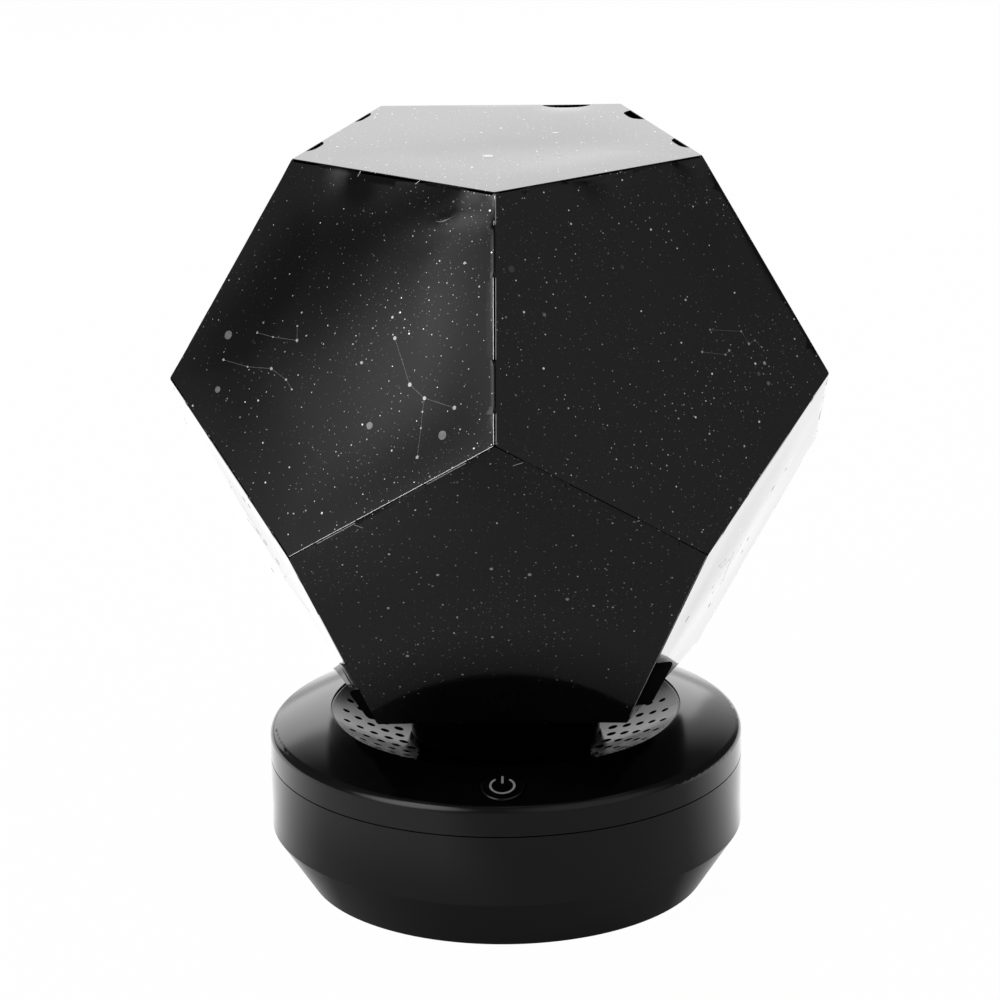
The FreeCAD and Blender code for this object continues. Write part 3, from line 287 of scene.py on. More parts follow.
def dish_plastic_with_painted_shade():
    """Black plastic of the dish, its gloss masked away in front of the hub as painted shade."""
    made = moulded("dish_black", *BLACK_TONES, roughness=0.16, grain=2400.0, grain_depth=0.00001,
                   strength=0.06, ior=1.2)
    place = made.node("ShaderNodeSeparateXYZ")
    made.link(made.node("ShaderNodeNewGeometry").outputs["Position"], place.inputs[0])
    sideways = made.combine("ABSOLUTE", place.outputs["X"], 0.0)
    painted_shade_mask = made.combine("MULTIPLY", made.spread(sideways, 1.0, 0.0, *SHADE_SIDE),
                          made.spread(place.outputs["Y"], 1.0, 0.0, *SHADE_REAR))
    # Painted shade: the specular level falls to nothing where the mask is full.
    made.link(made.spread(painted_shade_mask, 0.5, 0.0), made.shader.inputs["Specular IOR Level"])
    return made


def symbol_print():
    """Grey print of the power symbol, painted nearly black where it is seen in reflections."""
    made = moulded("symbol_grey", (0.20, 0.20, 0.20), (0.28, 0.28, 0.28), 0.45)
    grey = made.shader.inputs["Base Color"].links[0].from_socket
    seen_glossy = made.node("ShaderNodeLightPath").outputs["Is Glossy Ray"]
    # Painted reflection: glossy rays see the symbol darker than its print.
    made.link(made.blend(seen_glossy, grey, PAINTED_SYMBOL_REFLECTION), made.shader.inputs["Base Color"])
    return made


BASE = moulded("base_black", *BLACK_TONES, roughness=0.15, grain=2400.0, grain_depth=0.00001,
               strength=0.1, ior=1.36)
DISH = dish_plastic_with_painted_shade()
HUB = moulded("hub_black", *BLACK_TONES, roughness=0.12, grain_depth=0.00001, strength=0.08, ior=1.4)
FILM_STARS = star_film()
STAR_MARK = silver("star_mark", (0.24, 0.24, 0.245), (0.44, 0.44, 0.45), 0.3)
STAR_DISC = silver("star_disc", (0.10, 0.10, 0.102), (0.22, 0.22, 0.225), 0.3)
STAR_LINE = silver("star_line", (0.08, 0.08, 0.082), (0.17, 0.17, 0.174), 0.3)
STAR_TOP = silver("star_top", (0.26, 0.26, 0.265), (0.36, 0.36, 0.365), 0.25)
FILM_BACK = moulded("film_back", (0.0008, 0.0008, 0.001), (0.002, 0.002, 0.0023), roughness=0.4,
                    grain=1600.0, strength=0.1, ior=1.05)
# Painted highlight: silvery strips along cut edges and strokes at slits, where they catch the light.
PAINTED_EDGE_HIGHLIGHT = silver("painted_edge_highlight", (0.42, 0.42, 0.425), (0.62, 0.62, 0.63), 0.35)
SYMBOL = symbol_print()
RUBBER = moulded("foot_rubber", (0.012, 0.012, 0.012), (0.03, 0.03, 0.03), roughness=0.8, grain=500.0,
                 grain_depth=0.00006, strength=0.4)
INNER = moulded("inner_plastic", (0.035, 0.036, 0.04), (0.06, 0.06, 0.065), 0.5)
SWITCH = moulded("switch_black", (0.01, 0.01, 0.01), (0.03, 0.03, 0.03), 0.45)
GEAR = moulded("gear_plastic", (0.68, 0.66, 0.6), (0.78, 0.77, 0.72), 0.42)
LENS = moulded("lamp_lens", (0.82, 0.82, 0.74), (0.9, 0.9, 0.84), 0.12)
BOARD = moulded("board_green", (0.012, 0.10, 0.04), (0.03, 0.17, 0.07), roughness=0.35, grain=300.0,
                grain_depth=0.00004, strength=0.3)
CELL = moulded("cell_wrap", (0.02, 0.10, 0.28), (0.03, 0.14, 0.36), 0.25)
CONE = moulded("cone_paper", (0.02, 0.02, 0.02), (0.05, 0.05, 0.05), roughness=0.85, grain=400.0,
               grain_depth=0.0001, strength=0.5)
STEEL = metal("screw_steel", (0.42, 0.42, 0.43), (0.62, 0.62, 0.63), 0.3)
DRAWN = metal("motor_steel", (0.45, 0.45, 0.47), (0.58, 0.58, 0.6), 0.35, stretch=(30, 30, 1))

FINISHES = {
    BASE: ("base_lower_shell", "base_top_shell", "power_button"),
    DISH: ("grille_dish",),
    HUB: ("turntable_hub", "globe_clamp_ring"),
    RUBBER: ("rubber_feet",),
    STEEL: ("case_screws", "plate_screws", "motor_screws", "stem_screws", "clamp_screws", "board_screws",
            "battery_contacts"),
    DRAWN: ("motor", "motor_shaft", "usb_port", "speaker_basket", "speaker_magnet"),
    INNER: ("mechanism_plate", "lamp_stem", "battery_holder"),
    GEAR: ("motor_pinion", "turntable_gear", "thrust_washer"),
    BOARD: ("lamp_board", "switch_board", "main_board"),
    LENS: ("lamp_led",),
    SWITCH: ("tact_switch", "switch_plunger", "board_parts"),
    CELL: ("battery_cell",),
    CONE: ("speaker_cone",),
    SYMBOL: ("button_symbol",),
}
for finish, names in FINISHES.items():
    for name in names:
        thing = nodes[name]
        thing.data.materials.clear()
        thing.data.materials.append(finish.data)


# Films of the globe


def rise(value, start, end):
    """Smooth step from 0 at start to 1 at end."""
    share = min(max((value - start) / (end - start), 0), 1)
    return share * share * (3 - 2 * share)


def swell(dx, dy, angle, long, wide, high):
    """Height of a long soft swelling at an offset from its middle."""
    along = dx * math.cos(angle) + dy * math.sin(angle)
    across = -dx * math.sin(angle) + dy * math.cos(angle)
    return high * math.exp(-(along / long) ** 2 - (across / wide) ** 2)


def side_frame(side):
    """Outward and along directions of a film's side in its plane; side 0 faces +Y."""
    angle = math.pi / 2 + 2 * math.pi / SIDES * side
    outward = Vector((math.cos(angle), math.sin(angle)))
    along = Vector((-math.sin(angle), math.cos(angle)))
    return outward, along


def tab_flank(at, away, root, end, edge):
    """Outline of one side of a tab, from the film's edge outwards; away is 1 or -1 along the side."""
    return [(at + away * SLIT, edge), (at + away * SLIT, root),
            (at + away * HOOK_OUTER[0], root - HOOK_OUTER[1]),
            (at + away * HOOK_INNER[0], root - HOOK_INNER[1]),
            (at, root - SHOULDER), (at, end - CHAMFER),
            (at - away * BEVEL[0], end - BEVEL[1]), (at - away * CHAMFER, end)]


def sheet_outline(film):
    """Cut outline of a film laid flat, tabs unfolded, in millimetres."""
    corner = EDGE / 2 - GAP * math.tan(math.pi / SIDES)
    points = []
    for side in range(SIDES):
        outward, along = side_frame(side)
        edge = -GAP - film.setbacks.get(side, 0)
        path = [(-corner + CORNER_START, -GAP), (-corner + CORNER_END, edge)]
        for tab in sorted(film.tabs_on(side), key=lambda item: item.low):
            first, last = (tab.end() - loss for loss in tab.taper)
            path += tab_flank(tab.low, -1, tab.root, first, edge)
            path += reversed(tab_flank(tab.high, 1, tab.root, last, edge))
        for middle, half, deep in sorted(film.bites.get(side, ())):
            for step in range(BITE_STEPS + 1):
                share = 2 * step / BITE_STEPS - 1
                path.append((middle + half * share, edge - deep * (1 - share ** 4)))
        path += [(corner - CORNER_END, edge), (corner - CORNER_START, -GAP)]
        for s, u in path:
            points.append(outward * (APOTHEM + u) + along * s)
    return points


def inner_points(film):
    """Points that give the sheet enough vertices to bend."""
    points = []
    rows = int(EDGE / POINT_STEP) + 2
    for row in range(-rows, rows + 1):
        for column in range(-rows, rows + 1):
            point = Vector((POINT_STEP * (column + 0.5 * (row % 2)), POINT_STEP * ROW_SHARE * row))
            depth = min(APOTHEM - point.dot(side_frame(side)[0]) for side in range(SIDES))
            if depth > BAND:
                points.append(point)
    for side in range(SIDES):
        outward, along = side_frame(side)
        for place in range(-BAND_HALF_COUNT, BAND_HALF_COUNT + 1):
            for inset, spacing in BAND_ROWS:
                points.append(outward * (APOTHEM - inset) + along * place * spacing)
        for tab in film.tabs_on(side):
            bends = [tab.root + ROOT_MARGIN + tab.radius * tab.turn * row / (BEND_ROWS - 1)
                     for row in range(BEND_ROWS)]
            for u in bends + [bends[-1] + row for row in FLAT_ROWS]:
                for place in range(1, TAB_COLUMNS):
                    s = tab.low + (tab.high - tab.low) * place / TAB_COLUMNS
                    if u < tab.end() - max(tab.taper) - END_MARGIN:
                        points.append(outward * (APOTHEM + u) + along * s)
    return points


def triangulate(outline, extra):
    """Triangles inside an outline that use the extra points too."""
    verts = [point.copy() for point in outline] + extra
    face = list(range(len(outline)))
    made = delaunay_2d_cdt(verts, [], [face], 1, 0.02)
    return [tuple(v) for v in made[0]], [tuple(f) for f in made[2]]


class Tab:
    """A tab on a film's side: tucked under the next film, or loose and curled."""

    def __init__(self, side, low, high, root=ROOT, turn=TURN, radius=TAB_BEND, reach=TAB_REACH, over=0.0,
                 taper=(0, 0), matte=False):
        self.side = side
        self.matte = matte
        self.low = low
        self.high = high
        self.root = root
        self.turn = turn
        self.radius = radius
        self.reach = reach
        self.over = over
        self.taper = taper

    def end(self):
        """Reach of the whole tab laid flat."""
        return self.root + self.radius * self.turn + self.reach

    def bend(self, u, s):
        """Reach past the film's side and height above its plane, for a point of the tab laid flat."""
        middle, half = (self.low + self.high) / 2, (self.high - self.low) / 2
        share = 1 - min(abs((s - middle) / half), 1) ** 3
        turn = self.turn + self.over * share
        travel = max(u - self.root - self.over * share * ADVANCE, 0)
        arc = self.radius * self.turn
        radius = arc / turn
        turned = min(travel / radius, turn)
        reach = u - travel + radius * math.sin(turned)
        drop = radius * (1 - math.cos(turned))
        if travel > arc:
            reach += (travel - arc) * math.cos(turn)
            drop += (travel - arc) * math.sin(turn)
        return reach, -drop


class Film:
    """One warped star film: its waves, dents and tabs, and its place on the globe."""

    def __init__(self, node, giving, turning, waves=(), dents=(), dips=(), setbacks=None, over=None, loose=(),
                 bites=None):
        self.node = node
        self.bites = bites or {}
        self.turning = turning
        self.waves = waves
        self.dents = dents
        self.dips = dips
        self.setbacks = setbacks or {}
        over = over or {}
        self.tabs = [Tab(side, low, high, over=over.get((side, zone), 0.0))
                     for side in giving for zone, (low, high) in enumerate(TAB_ZONES)
                     if (side, zone) not in MISSING.get(node, ())
                     and not any(tab.side == side and tab.low < high and tab.high > low for tab in loose)]
        self.tabs += list(loose)

    def tabs_on(self, side):
        return [tab for tab in self.tabs if tab.side == side]

    def lift(self, x, y):
        """Height of the sheet above its flat face, in millimetres."""
        point = Vector((x, y))
        depth = min(APOTHEM - point.dot(side_frame(side)[0]) for side in range(SIDES))
        height = 0.0
        for cx, cy, angle, long, wide, high in self.waves:
            height += swell(x - cx, y - cy, angle, long, wide, high)
        height *= rise(depth, 0.0, TAPER)
        for cx, cy, angle, long, wide, high in self.dents:
            height += swell(x - cx, y - cy, angle, long, wide, high)
        for side, middle, half, high in self.dips:
            outward, along = side_frame(side)
            u = APOTHEM - point.dot(outward)
            s = point.dot(along) - middle
            if abs(s) < half:
                height += high * (1 + math.cos(math.pi * s / half)) / 2 * math.exp(-(u / DIP_REACH) ** 2)
        return height

    def fold(self, x, y):
        """Place of a sheet point in the film's own frame, millimetres, outward along +Z."""
        point = Vector((x, y))
        for tab in self.tabs:
            outward, along = side_frame(tab.side)
            u = point.dot(outward) - APOTHEM
            s = point.dot(along)
            if u > tab.root and tab.low - SIDE_PLAY <= s <= tab.high + SIDE_PLAY:
                reach, height = tab.bend(u, s)
                root = outward * (APOTHEM + tab.root) + along * s
                place = outward * (APOTHEM + reach) + along * s
                return Vector((place.x, place.y, height + self.lift(root.x, root.y)))
        return Vector((x, y, self.lift(x, y)))

    def matrix(self):
        away = self.turning @ Vector((0, 0, INRADIUS))
        return Matrix.Translation((Vector((0, 0, GLOBE_CENTRE)) + away) * MM) @ self.turning.to_4x4()


# Shift of the star print from film to film.
PRINT_SHIFT = (97.0, 53.0)
# Around the hub's hole: faces nearer than the first share of its radius go, points
# nearer than the second share move out to it.
OPEN_SHARE = 0.8
SNAP_SHARE = 1.02


def new_object(name, verts, faces, material, body=None, uvs=None):
    mesh = bpy.data.meshes.new(name)
    mesh.from_pydata(verts, [], faces)
    mesh.update()
    if uvs:
        layer = mesh.uv_layers.new(name="film")
        for loop in mesh.loops:
            layer.data[loop.index].uv = uvs[loop.vertex_index]
    thing = bpy.data.objects.new(name, mesh)
    bpy.context.scene.collection.objects.link(thing)
    mesh.materials.append(material.data)
    if body:
        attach(thing, body)
    return thing


def smooth(thing):
    for polygon in thing.data.polygons:
        polygon.use_smooth = True


def build_film(film, number, hole=None):
    verts, faces = triangulate(sheet_outline(film), inner_points(film))
    place = film.matrix()
    if hole:
        faces = [face for face in faces
                 if min(math.hypot(*verts[index]) for index in face) > hole * OPEN_SHARE]
        verts = [tuple(Vector(v).normalized() * hole) if math.hypot(*v) < hole * SNAP_SHARE else v
                 for v in verts]
    placed = [place @ (film.fold(*v) * MM) for v in verts]
    flipped = []
    for face in faces:
        a, b, c = (Vector(verts[index]) for index in face[:3])
        turn = (b - a).cross(c - a)
        flipped.append(face if turn > 0 else tuple(reversed(face)))
    uvs = [(x + PRINT_SHIFT[0] * number, y + PRINT_SHIFT[1] * (number % 3)) for x, y in verts]
    thing = new_object(film.node + "_sheet", placed, flipped, FILM_STARS, None, uvs)
    matte = [tab for tab in film.tabs if tab.matte]
    if matte:
        thing.data.materials.append(FILM_BACK.data)
        for polygon, face in zip(thing.data.polygons, flipped):
            middle = sum((Vector(verts[index]) for index in face), Vector((0, 0))) / len(face)
            for tab in matte:
                outward, along = side_frame(tab.side)
                if middle.dot(outward) - APOTHEM > tab.root and tab.low < middle.dot(along) < tab.high:
                    polygon.material_index = 1
    smooth(thing)
    solid = thing.modifiers.new("thickness", "SOLIDIFY")
    solid.thickness = SHEET * MM
    solid.offset = -1
    split = thing.modifiers.new("crisp", "EDGE_SPLIT")
    split.split_angle = math.radians(CRISP_ANGLE)
    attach(thing, "turntable")
    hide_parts(film.node)


def rotation(*turns):
    """Rotation made of (degrees, axis) turns, the first one outermost."""
    result = Matrix.Identity(3)
    for degrees, axis in turns:
        result = result @ Matrix.Rotation(math.radians(degrees), 3, axis)
    return result


TILT = math.degrees(TURN)
UPPER_GIVES = (0, 4)
LOWER_GIVES = (0, 1, 2, 3)

# Waves and dents are (x, y, angle, length, width, height) in a film's plane.
TOP_WAVES = ((10, -8, 0.5, 30, 18, -0.3),)
UPPER_WAVES = {
    1: ((8, 12, 0.3, 40, 22, 0.2),),
    2: ((0, 5, 0.8, 30, 20, 0.5),),
    3: ((-5, 0, 0.2, 30, 20, -0.4),),
    4: ((6, -4, 1.9, 30, 20, 0.5),),
    5: ((30, -30, 1.476, 200, 22.4, -0.37), (7.1, 9.8, 0.343, 40, 23.6, 0.79)),
}
LOWER_WAVES = {
    1: (),
    2: ((4, 0, 0.9, 30, 20, 0.4),),
    3: ((0, 4, 1.4, 26, 20, -0.5),),
    4: ((-4, 2, 0.4, 30, 18, 0.5),),
    5: ((3, -3, 2.2, 28, 20, 0.4),),
}
DENTS = {"film_upper_5": ((20.9, 37.0, 0.417, 16, 6.1, 0.28), (35, 41.5, 0.3, 6, 6, -1.7),
                          (21.5, 34.3, 0.37, 5, 1.0, 0.2), (-8.5, 39.8, 0.0, 2.2, 1.2, 0.25))}
# Dips along a side are (side, middle, half length, height).
DIPS = {"film_top": ((0, -16.3, 8.5, -0.3),), "film_upper_5": ((0, 11, 8, -0.45), (0, -26, 4.5, -0.3))}
UPPER_DIPS = ((0, 0, 8, -0.45), (0, -26, 4.5, -0.3))
# Slots cut into a side are (middle, half length, depth). Setbacks move a side's cut edge in. Tabs in
# OVERBENT and MISSING are (side, zone). Loose margins stand in for the tabs that they overlap.
BITES = {"film_top": {0: ((-16.6, 6.6, 3.0),), 4: ((16.8, 5.6, 3.0), (-16.6, 5.6, 1.8)),
                      1: ((-16.6, 5.6, 1.3), (16.8, 5.6, 1.6))}}
SETBACKS = {"film_upper_5": {0: 0.55, 2: 0.3, 4: 0.1}, "film_upper_1": {0: 0.3, 1: 0.1},
            "film_bottom": {side: 0.6 for side in range(SIDES)}}
OVERBENT = {"film_upper_3": {(0, 0): 0.3}}
MISSING = {"film_upper_2": ((0, 0), (0, 1)), "film_upper_3": ((0, 1),), "film_upper_4": ((0, 0), (0, 1))}
LOOSE = {"film_lower_1": (
    Tab(1, -24.0, -8.5, root=-0.2, turn=0.5, radius=2.4, reach=5.0, taper=(1.2, 0.6), matte=True),
    Tab(4, 8.0, 16.8, root=-0.1, turn=0.95, radius=1.6, reach=2.0, taper=(0.6, 0.4)),
    Tab(4, 17.4, 28.4, root=-0.1, turn=0.25, radius=3.0, reach=2.6, taper=(0.3, 1.4), matte=True))}


def make_film(name, giving, turning, waves, dips=()):
    return Film(name, giving, turning, waves, DENTS.get(name, ()), DIPS.get(name, dips),
                SETBACKS.get(name), OVERBENT.get(name), LOOSE.get(name, ()), BITES.get(name))


films = {"film_top": make_film("film_top", (), rotation(), TOP_WAVES)}
for step in range(SIDES):
    spin = 360 / SIDES * step
    name = f"film_upper_{step + 1}"
    films[name] = make_film(name, UPPER_GIVES, rotation((spin + 180 / SIDES, "Z"), (TILT, "X")),
                            UPPER_WAVES[step + 1], UPPER_DIPS)
    name = f"film_lower_{step + 1}"
    films[name] = make_film(name, LOWER_GIVES, rotation((spin, "Z"), (180 - TILT, "X"), (180, "Z")),
                            LOWER_WAVES[step + 1])
films["film_bottom"] = make_film("film_bottom", (), rotation((180, "X")), ())
for number, film in enumerate(films.values()):
    build_film(film, number, HUB_HOLE if film.node == "film_bottom" else None)


# Star figures: line drawings and larger marks laid on the films

# Corners of a round mark, longest step of a line, and heights over the film.
MARK_CORNERS = 14
LINE_STEP = 1.5
MARK_LIFT = 0.03
LINE_LIFT = 0.02
# Width of a figure's lines, and a mark's printed radius as a share of the listed one.
FIGURE_LINE = 0.1
MARK_SHARE = 0.85


def mark_disc(film, verts, faces, x, y, radius):
    """Flat round mark that follows the film."""
    place = film.matrix()
    start = len(verts)
    for corner in range(MARK_CORNERS):
        angle = 2 * math.pi * corner / MARK_CORNERS
        px, py = x + radius * math.cos(angle), y + radius * math.sin(angle)
        spot = film.fold(px, py)
        spot.z += MARK_LIFT
        verts.append(place @ (spot * MM))
    faces.append(tuple(range(start, start + MARK_CORNERS)))


def mark_line(film, verts, faces, first, last, wide):
    """Flat stroke that follows the film."""
    place = film.matrix()
    a, b = Vector(first), Vector(last)
    steps = max(2, int((b - a).length / LINE_STEP))
    across = Vector((-(b - a).y, (b - a).x)).normalized() * wide / 2
    start = len(verts)
    for step in range(steps + 1):
        middle = a.lerp(b, step / steps)
        for sign in (-1, 1):
            point = middle + across * sign
            spot = film.fold(point.x, point.y)
            spot.z += LINE_LIFT
            verts.append(place @ (spot * MM))
    for step in range(steps):
        low = start + step * 2
        faces.append((low, low + 2, low + 3, low + 1))


# Each figure is a list of marks (x, y, radius) and of joined pairs, in the film's plane.
FIGURES = {
    "film_upper_5": [
        ([(14, 4, 0.55), (21.4, -6, 0.6), (26.4, -8.4, 0.55), (35.4, -9.2, 0.6), (26.8, -11.6, 0.3),
          (27.6, -15.4, 0.3), (28.8, -22.2, 0.5)], [(0, 1), (1, 2), (2, 3), (2, 4), (4, 5), (5, 6)]),
        ([(-26.5, -1, 0.35), (-21.4, -1.3, 0.3), (-14, -1, 0.45), (-15, 2.4, 0.3)], [(0, 1), (1, 2), (2, 3)]),
        ([(-34.5, -9, 0.4), (-26.6, -9.5, 0.3), (-19.4, -8.8, 0.45), (-14.2, -10.7, 0.35),
          (-11.8, -12.7, 0.3)],
         [(0, 1), (1, 2), (2, 3), (3, 4)]),
    ],
    "film_upper_1": [
        ([(18.4, 0.2, 0.3), (27.2, -1.7, 0.3), (28.4, -5, 0.4), (30.4, -4.5, 0.25), (31.8, -6.4, 0.25)],
         [(0, 1), (1, 2), (2, 3), (3, 4)]),
        ([(14.4, -4.6, 0.35), (20.8, -6.4, 0.3), (22.2, -5.6, 0.4)], [(0, 1), (1, 2)]),
    ],
    "film_lower_1": [],
    "film_top": [
        ([(9.5, -9.5, 0.35), (9.9, -14.5, 0.35), (10.6, -18, 0.4)], [(0, 1), (1, 2)]),
        ([(14.6, -8.5, 0.35), (14.2, -12, 0.3), (16.6, -15.5, 0.45)], [(0, 1), (1, 2)]),
    ],
}
# Single marks (x, y, radius): bright ones and dimmer discs.
BRIGHT = {
    "film_upper_5": ((6.4, -3.2, 0.45), (13.1, -17.3, 0.3), (11.8, 8.7, 0.4), (27.6, 24.4, 0.4),
                     (33.4, 19.6, 0.3)),
    "film_lower_1": ((1.6, -12, 0.5), (-7.4, -10, 0.55), (-16.2, -1.6, 0.5), (14.3, -10.1, 0.45),
                     (22.4, 17.6, 0.5), (1.8, 11.2, 0.4), (26.4, 1, 0.4)),
    "film_upper_1": ((31.3, -10.3, 0.5),),
}
DISCS = {
    "film_upper_5": ((34.1, -16, 1.1), (-35.1, -2.9, 1.1), (-33.9, -16.3, 0.8), (13.1, -17.3, 0.9)),
    "film_lower_1": ((15.6, -6.4, 0.35), (-22, 4, 0.25)),
    "film_upper_1": ((30.8, -15.3, 0.5), (-26.3, 11.5, 0.45)),
    "film_top": ((-2.2, -13.9, 1.4), (14, 10, 0.9)),
}
# Painted highlights along cut margins, where they catch the light: side, start and end along it, inset and
# width.
NO_TABS = ((-30.0, -22.7), (-9.8, 9.8), (22.7, 30.0))
PAINTED_EDGE_HIGHLIGHTS = {
    "film_upper_5": [(4, low, high, 0.0, 0.15) for low, high in NO_TABS] + [
        (3, low, high, 0.0, 0.13) for low, high in NO_TABS + TAB_ZONES],
    "film_upper_1": [(1, low, high, 0.0, 0.15) for low, high in NO_TABS],
    "film_lower_1": [(3, 10.6, 22.0, 0.12, 0.1), (3, -22.0, -10.6, 0.12, 0.1), (1, -28.0, 30.0, 0.0, 0.1)],
}

# Short painted highlight strokes where a slit or a crease catches the light: both ends and width.
PAINTED_GLINTS = {
    "film_upper_5": ((-9.5, 42.0, -9.9, 40.4, 0.3), (8.7, 41.9, 7.6, 40.8, 0.12)),
    "film_lower_1": ((-4.1, -45.7, -6.4, -46.7, 0.14), (-31.7, -27.2, -34.5, -27.8, 0.14),
                     (33.3, -26.9, 31.3, -25.9, 0.12)),
}
# Softer painted highlight strokes along the crescent-shaped crease, in the same form; they are drawn with the
# discs.
PAINTED_CREASE_HIGHLIGHTS = {
    "film_upper_5": ((16.6, 32.9, 17.6, 32.9, 0.2), (17.6, 32.9, 18.6, 33.15, 0.34),
                     (18.6, 33.15, 19.6, 33.6, 0.36), (19.6, 33.6, 20.6, 34.2, 0.24),
                     (20.6, 34.2, 21.8, 35.0, 0.12)),
}


def paint_margin_highlight(film, verts, faces, side, low, high, inset, wide):
    """Narrow painted highlight strip along a film's side."""
    outward, along = side_frame(side)
    outer = APOTHEM - GAP - film.setbacks.get(side, 0) - inset
    first = outward * (outer - wide / 2) + along * low
    last = outward * (outer - wide / 2) + along * high
    mark_line(film, verts, faces, first, last, wide)


# Where no figure or disc is listed: how many, their middles, their spread and radii.
FREE_FIGURES = 2
FREE_POINTS = 5
FREE_DISCS = 6
FREE_MIDDLE = 16
FREE_SPREAD = 9
FREE_RADII = (0.3, 0.5)
DISC_PLACE = (30, 26)
DISC_RADII = (0.5, 1.0)


def free_figure():
    """Star figure drawn at random: a chain of marks round a random middle."""
    cx, cy = (random.uniform(-FREE_MIDDLE, FREE_MIDDLE) for _ in range(2))
    spots = [(cx + random.uniform(-FREE_SPREAD, FREE_SPREAD), cy + random.uniform(-FREE_SPREAD, FREE_SPREAD),
              random.uniform(*FREE_RADII)) for _ in range(FREE_POINTS)]
    return spots, [(index, index + 1) for index in range(FREE_POINTS - 1)]


def free_discs():
    wide, high = DISC_PLACE
    return [(random.uniform(-wide, wide), random.uniform(-high, high), random.uniform(*DISC_RADII))
            for _ in range(FREE_DISCS)]


def print_film(name, film):
    """Adds a film's figures, marks and discs, and its painted highlights, each kind as one object."""
    lines, marks, discs, painted_highlights = ([], []), ([], []), ([], []), ([], [])
    figures = FIGURES.get(name)
    if figures is None:
        figures = [free_figure() for _ in range(FREE_FIGURES)]
    for spots, pairs in figures:
        for first, last in pairs:
            mark_line(film, *lines, spots[first][:2], spots[last][:2], FIGURE_LINE)
        for x, y, radius in spots:
            mark_disc(film, *marks, x, y, radius * MARK_SHARE)
    for x, y, radius in BRIGHT.get(name, ()):
        mark_disc(film, *marks, x, y, radius * MARK_SHARE)
    for x, y, radius in DISCS.get(name) or free_discs():
        mark_disc(film, *discs, x, y, radius)
    for margin in PAINTED_EDGE_HIGHLIGHTS.get(name, ()):
        paint_margin_highlight(film, *painted_highlights, *margin)
    # Glints join the painted highlight strips; the crease's painted highlight strokes join the discs.
    for strokes, shape in ((PAINTED_GLINTS, painted_highlights), (PAINTED_CREASE_HIGHLIGHTS, discs)):
        for x, y, end_x, end_y, wide in strokes.get(name, ()):
            mark_line(film, *shape, (x, y), (end_x, end_y), wide)
    prints = (STAR_TOP,) * 3 if name == "film_top" else (STAR_LINE, STAR_MARK, STAR_DISC)
    kinds = zip(("lines", "marks", "discs", "painted_highlights"), (lines, marks, discs, painted_highlights), (*prints, PAINTED_EDGE_HIGHLIGHT))
    for kind, (verts, faces), material in kinds:
        if faces:
            thing = new_object(f"{name}_star_{kind}", verts, faces, material, "turntable")


random.seed(41)
for name, film in films.items():
    if name != "film_bottom":
        print_film(name, film)


# Floor, light and camera

# The floor in reflections: painted light as a glow behind the object and one at the front
# left beyond a sloping line and outside a ring, and painted shadow as a dark ring round the
# base's foot. Fades are in metres, and shares say how much of a glow covers the floor.
REAR_FADE = (-0.03, 0.04)
REAR_GLOW = 1.5
LEFT_SLOPE = 0.91
LEFT_FADE = (0.06, 0.11)
LEFT_RING = (0.1, 0.13)
LEFT_SHARE = 0.5
NEAR_SHARE = 0.2
LEFT_GLOW = 1.3
FOOT_FADE = (0.068, 0.084)
FOOT_SHARE = 0.64
FOOT_GLOW = 0.0
# Share of white over the floor for the camera, which leaves a faint shadow.
WHITE_SHARE = 0.985
FLOOR_HALF = 4


def floor_material():
    """Pale floor shown as the white background, with painted glows and shadow in reflections."""
    made = Material("floor_white", (0.8, 0.8, 0.8), 0.9)
    made.link(made.blend(made.noise(3.0), (0.78, 0.78, 0.78), (0.82, 0.82, 0.82)),
              made.shader.inputs["Base Color"])
    rays = made.node("ShaderNodeLightPath")
    place = made.node("ShaderNodeSeparateXYZ")
    made.link(made.coords(), place.inputs[0])
    # Painted light: glows behind the object and at the front left, seen only in reflections.
    rear = made.spread(place.outputs["Y"], 0.0, 1.0, *REAR_FADE)
    across = made.combine("SUBTRACT", place.outputs["X"],
                          made.combine("MULTIPLY", place.outputs["Y"], LEFT_SLOPE))
    squares = made.combine("ADD", made.combine("POWER", place.outputs["X"], 2.0),
                           made.combine("POWER", place.outputs["Y"], 2.0))
    reach = made.combine("SQRT", squares, 0.0)
    front_left = made.combine("MULTIPLY", made.spread(across, LEFT_SHARE, 0.0, *LEFT_FADE),
                              made.spread(reach, NEAR_SHARE, 1.0, *LEFT_RING))
    # Painted shadow: a dark ring round the base's foot, seen only in reflections.
    foot = made.spread(reach, FOOT_SHARE, 0.0, *FOOT_FADE)
    surface = made.shader.outputs[0]
    for ray, share, strength in (
            ("Is Glossy Ray", front_left, LEFT_GLOW), ("Is Glossy Ray", foot, FOOT_GLOW),
            ("Is Glossy Ray", rear, REAR_GLOW), ("Is Camera Ray", WHITE_SHARE, 1.0)):
        glow = made.node("ShaderNodeEmission")
        glow.inputs["Strength"].default_value = strength
        mixed = made.node("ShaderNodeMixShader")
        made.link(made.combine("MULTIPLY", rays.outputs[ray], share), mixed.inputs[0])
        made.link(surface, mixed.inputs[1])
        made.link(glow.outputs[0], mixed.inputs[2])
        surface = mixed.outputs[0]
    output = next(node for node in made.tree.nodes if node.type == "OUTPUT_MATERIAL")
    made.link(surface, output.inputs["Surface"])
    return made


floor_corners = [(x * FLOOR_HALF, y * FLOOR_HALF, 0) for x, y in ((-1, -1), (1, -1), (1, 1), (-1, 1))]
floor = new_object("floor", floor_corners, [(0, 1, 2, 3)], floor_material())

world = bpy.data.worlds.new("studio")
bpy.context.scene.world = world
world.use_nodes = True
tree = world.node_tree
tree.nodes.clear()
coords = tree.nodes.new("ShaderNodeTexCoord")


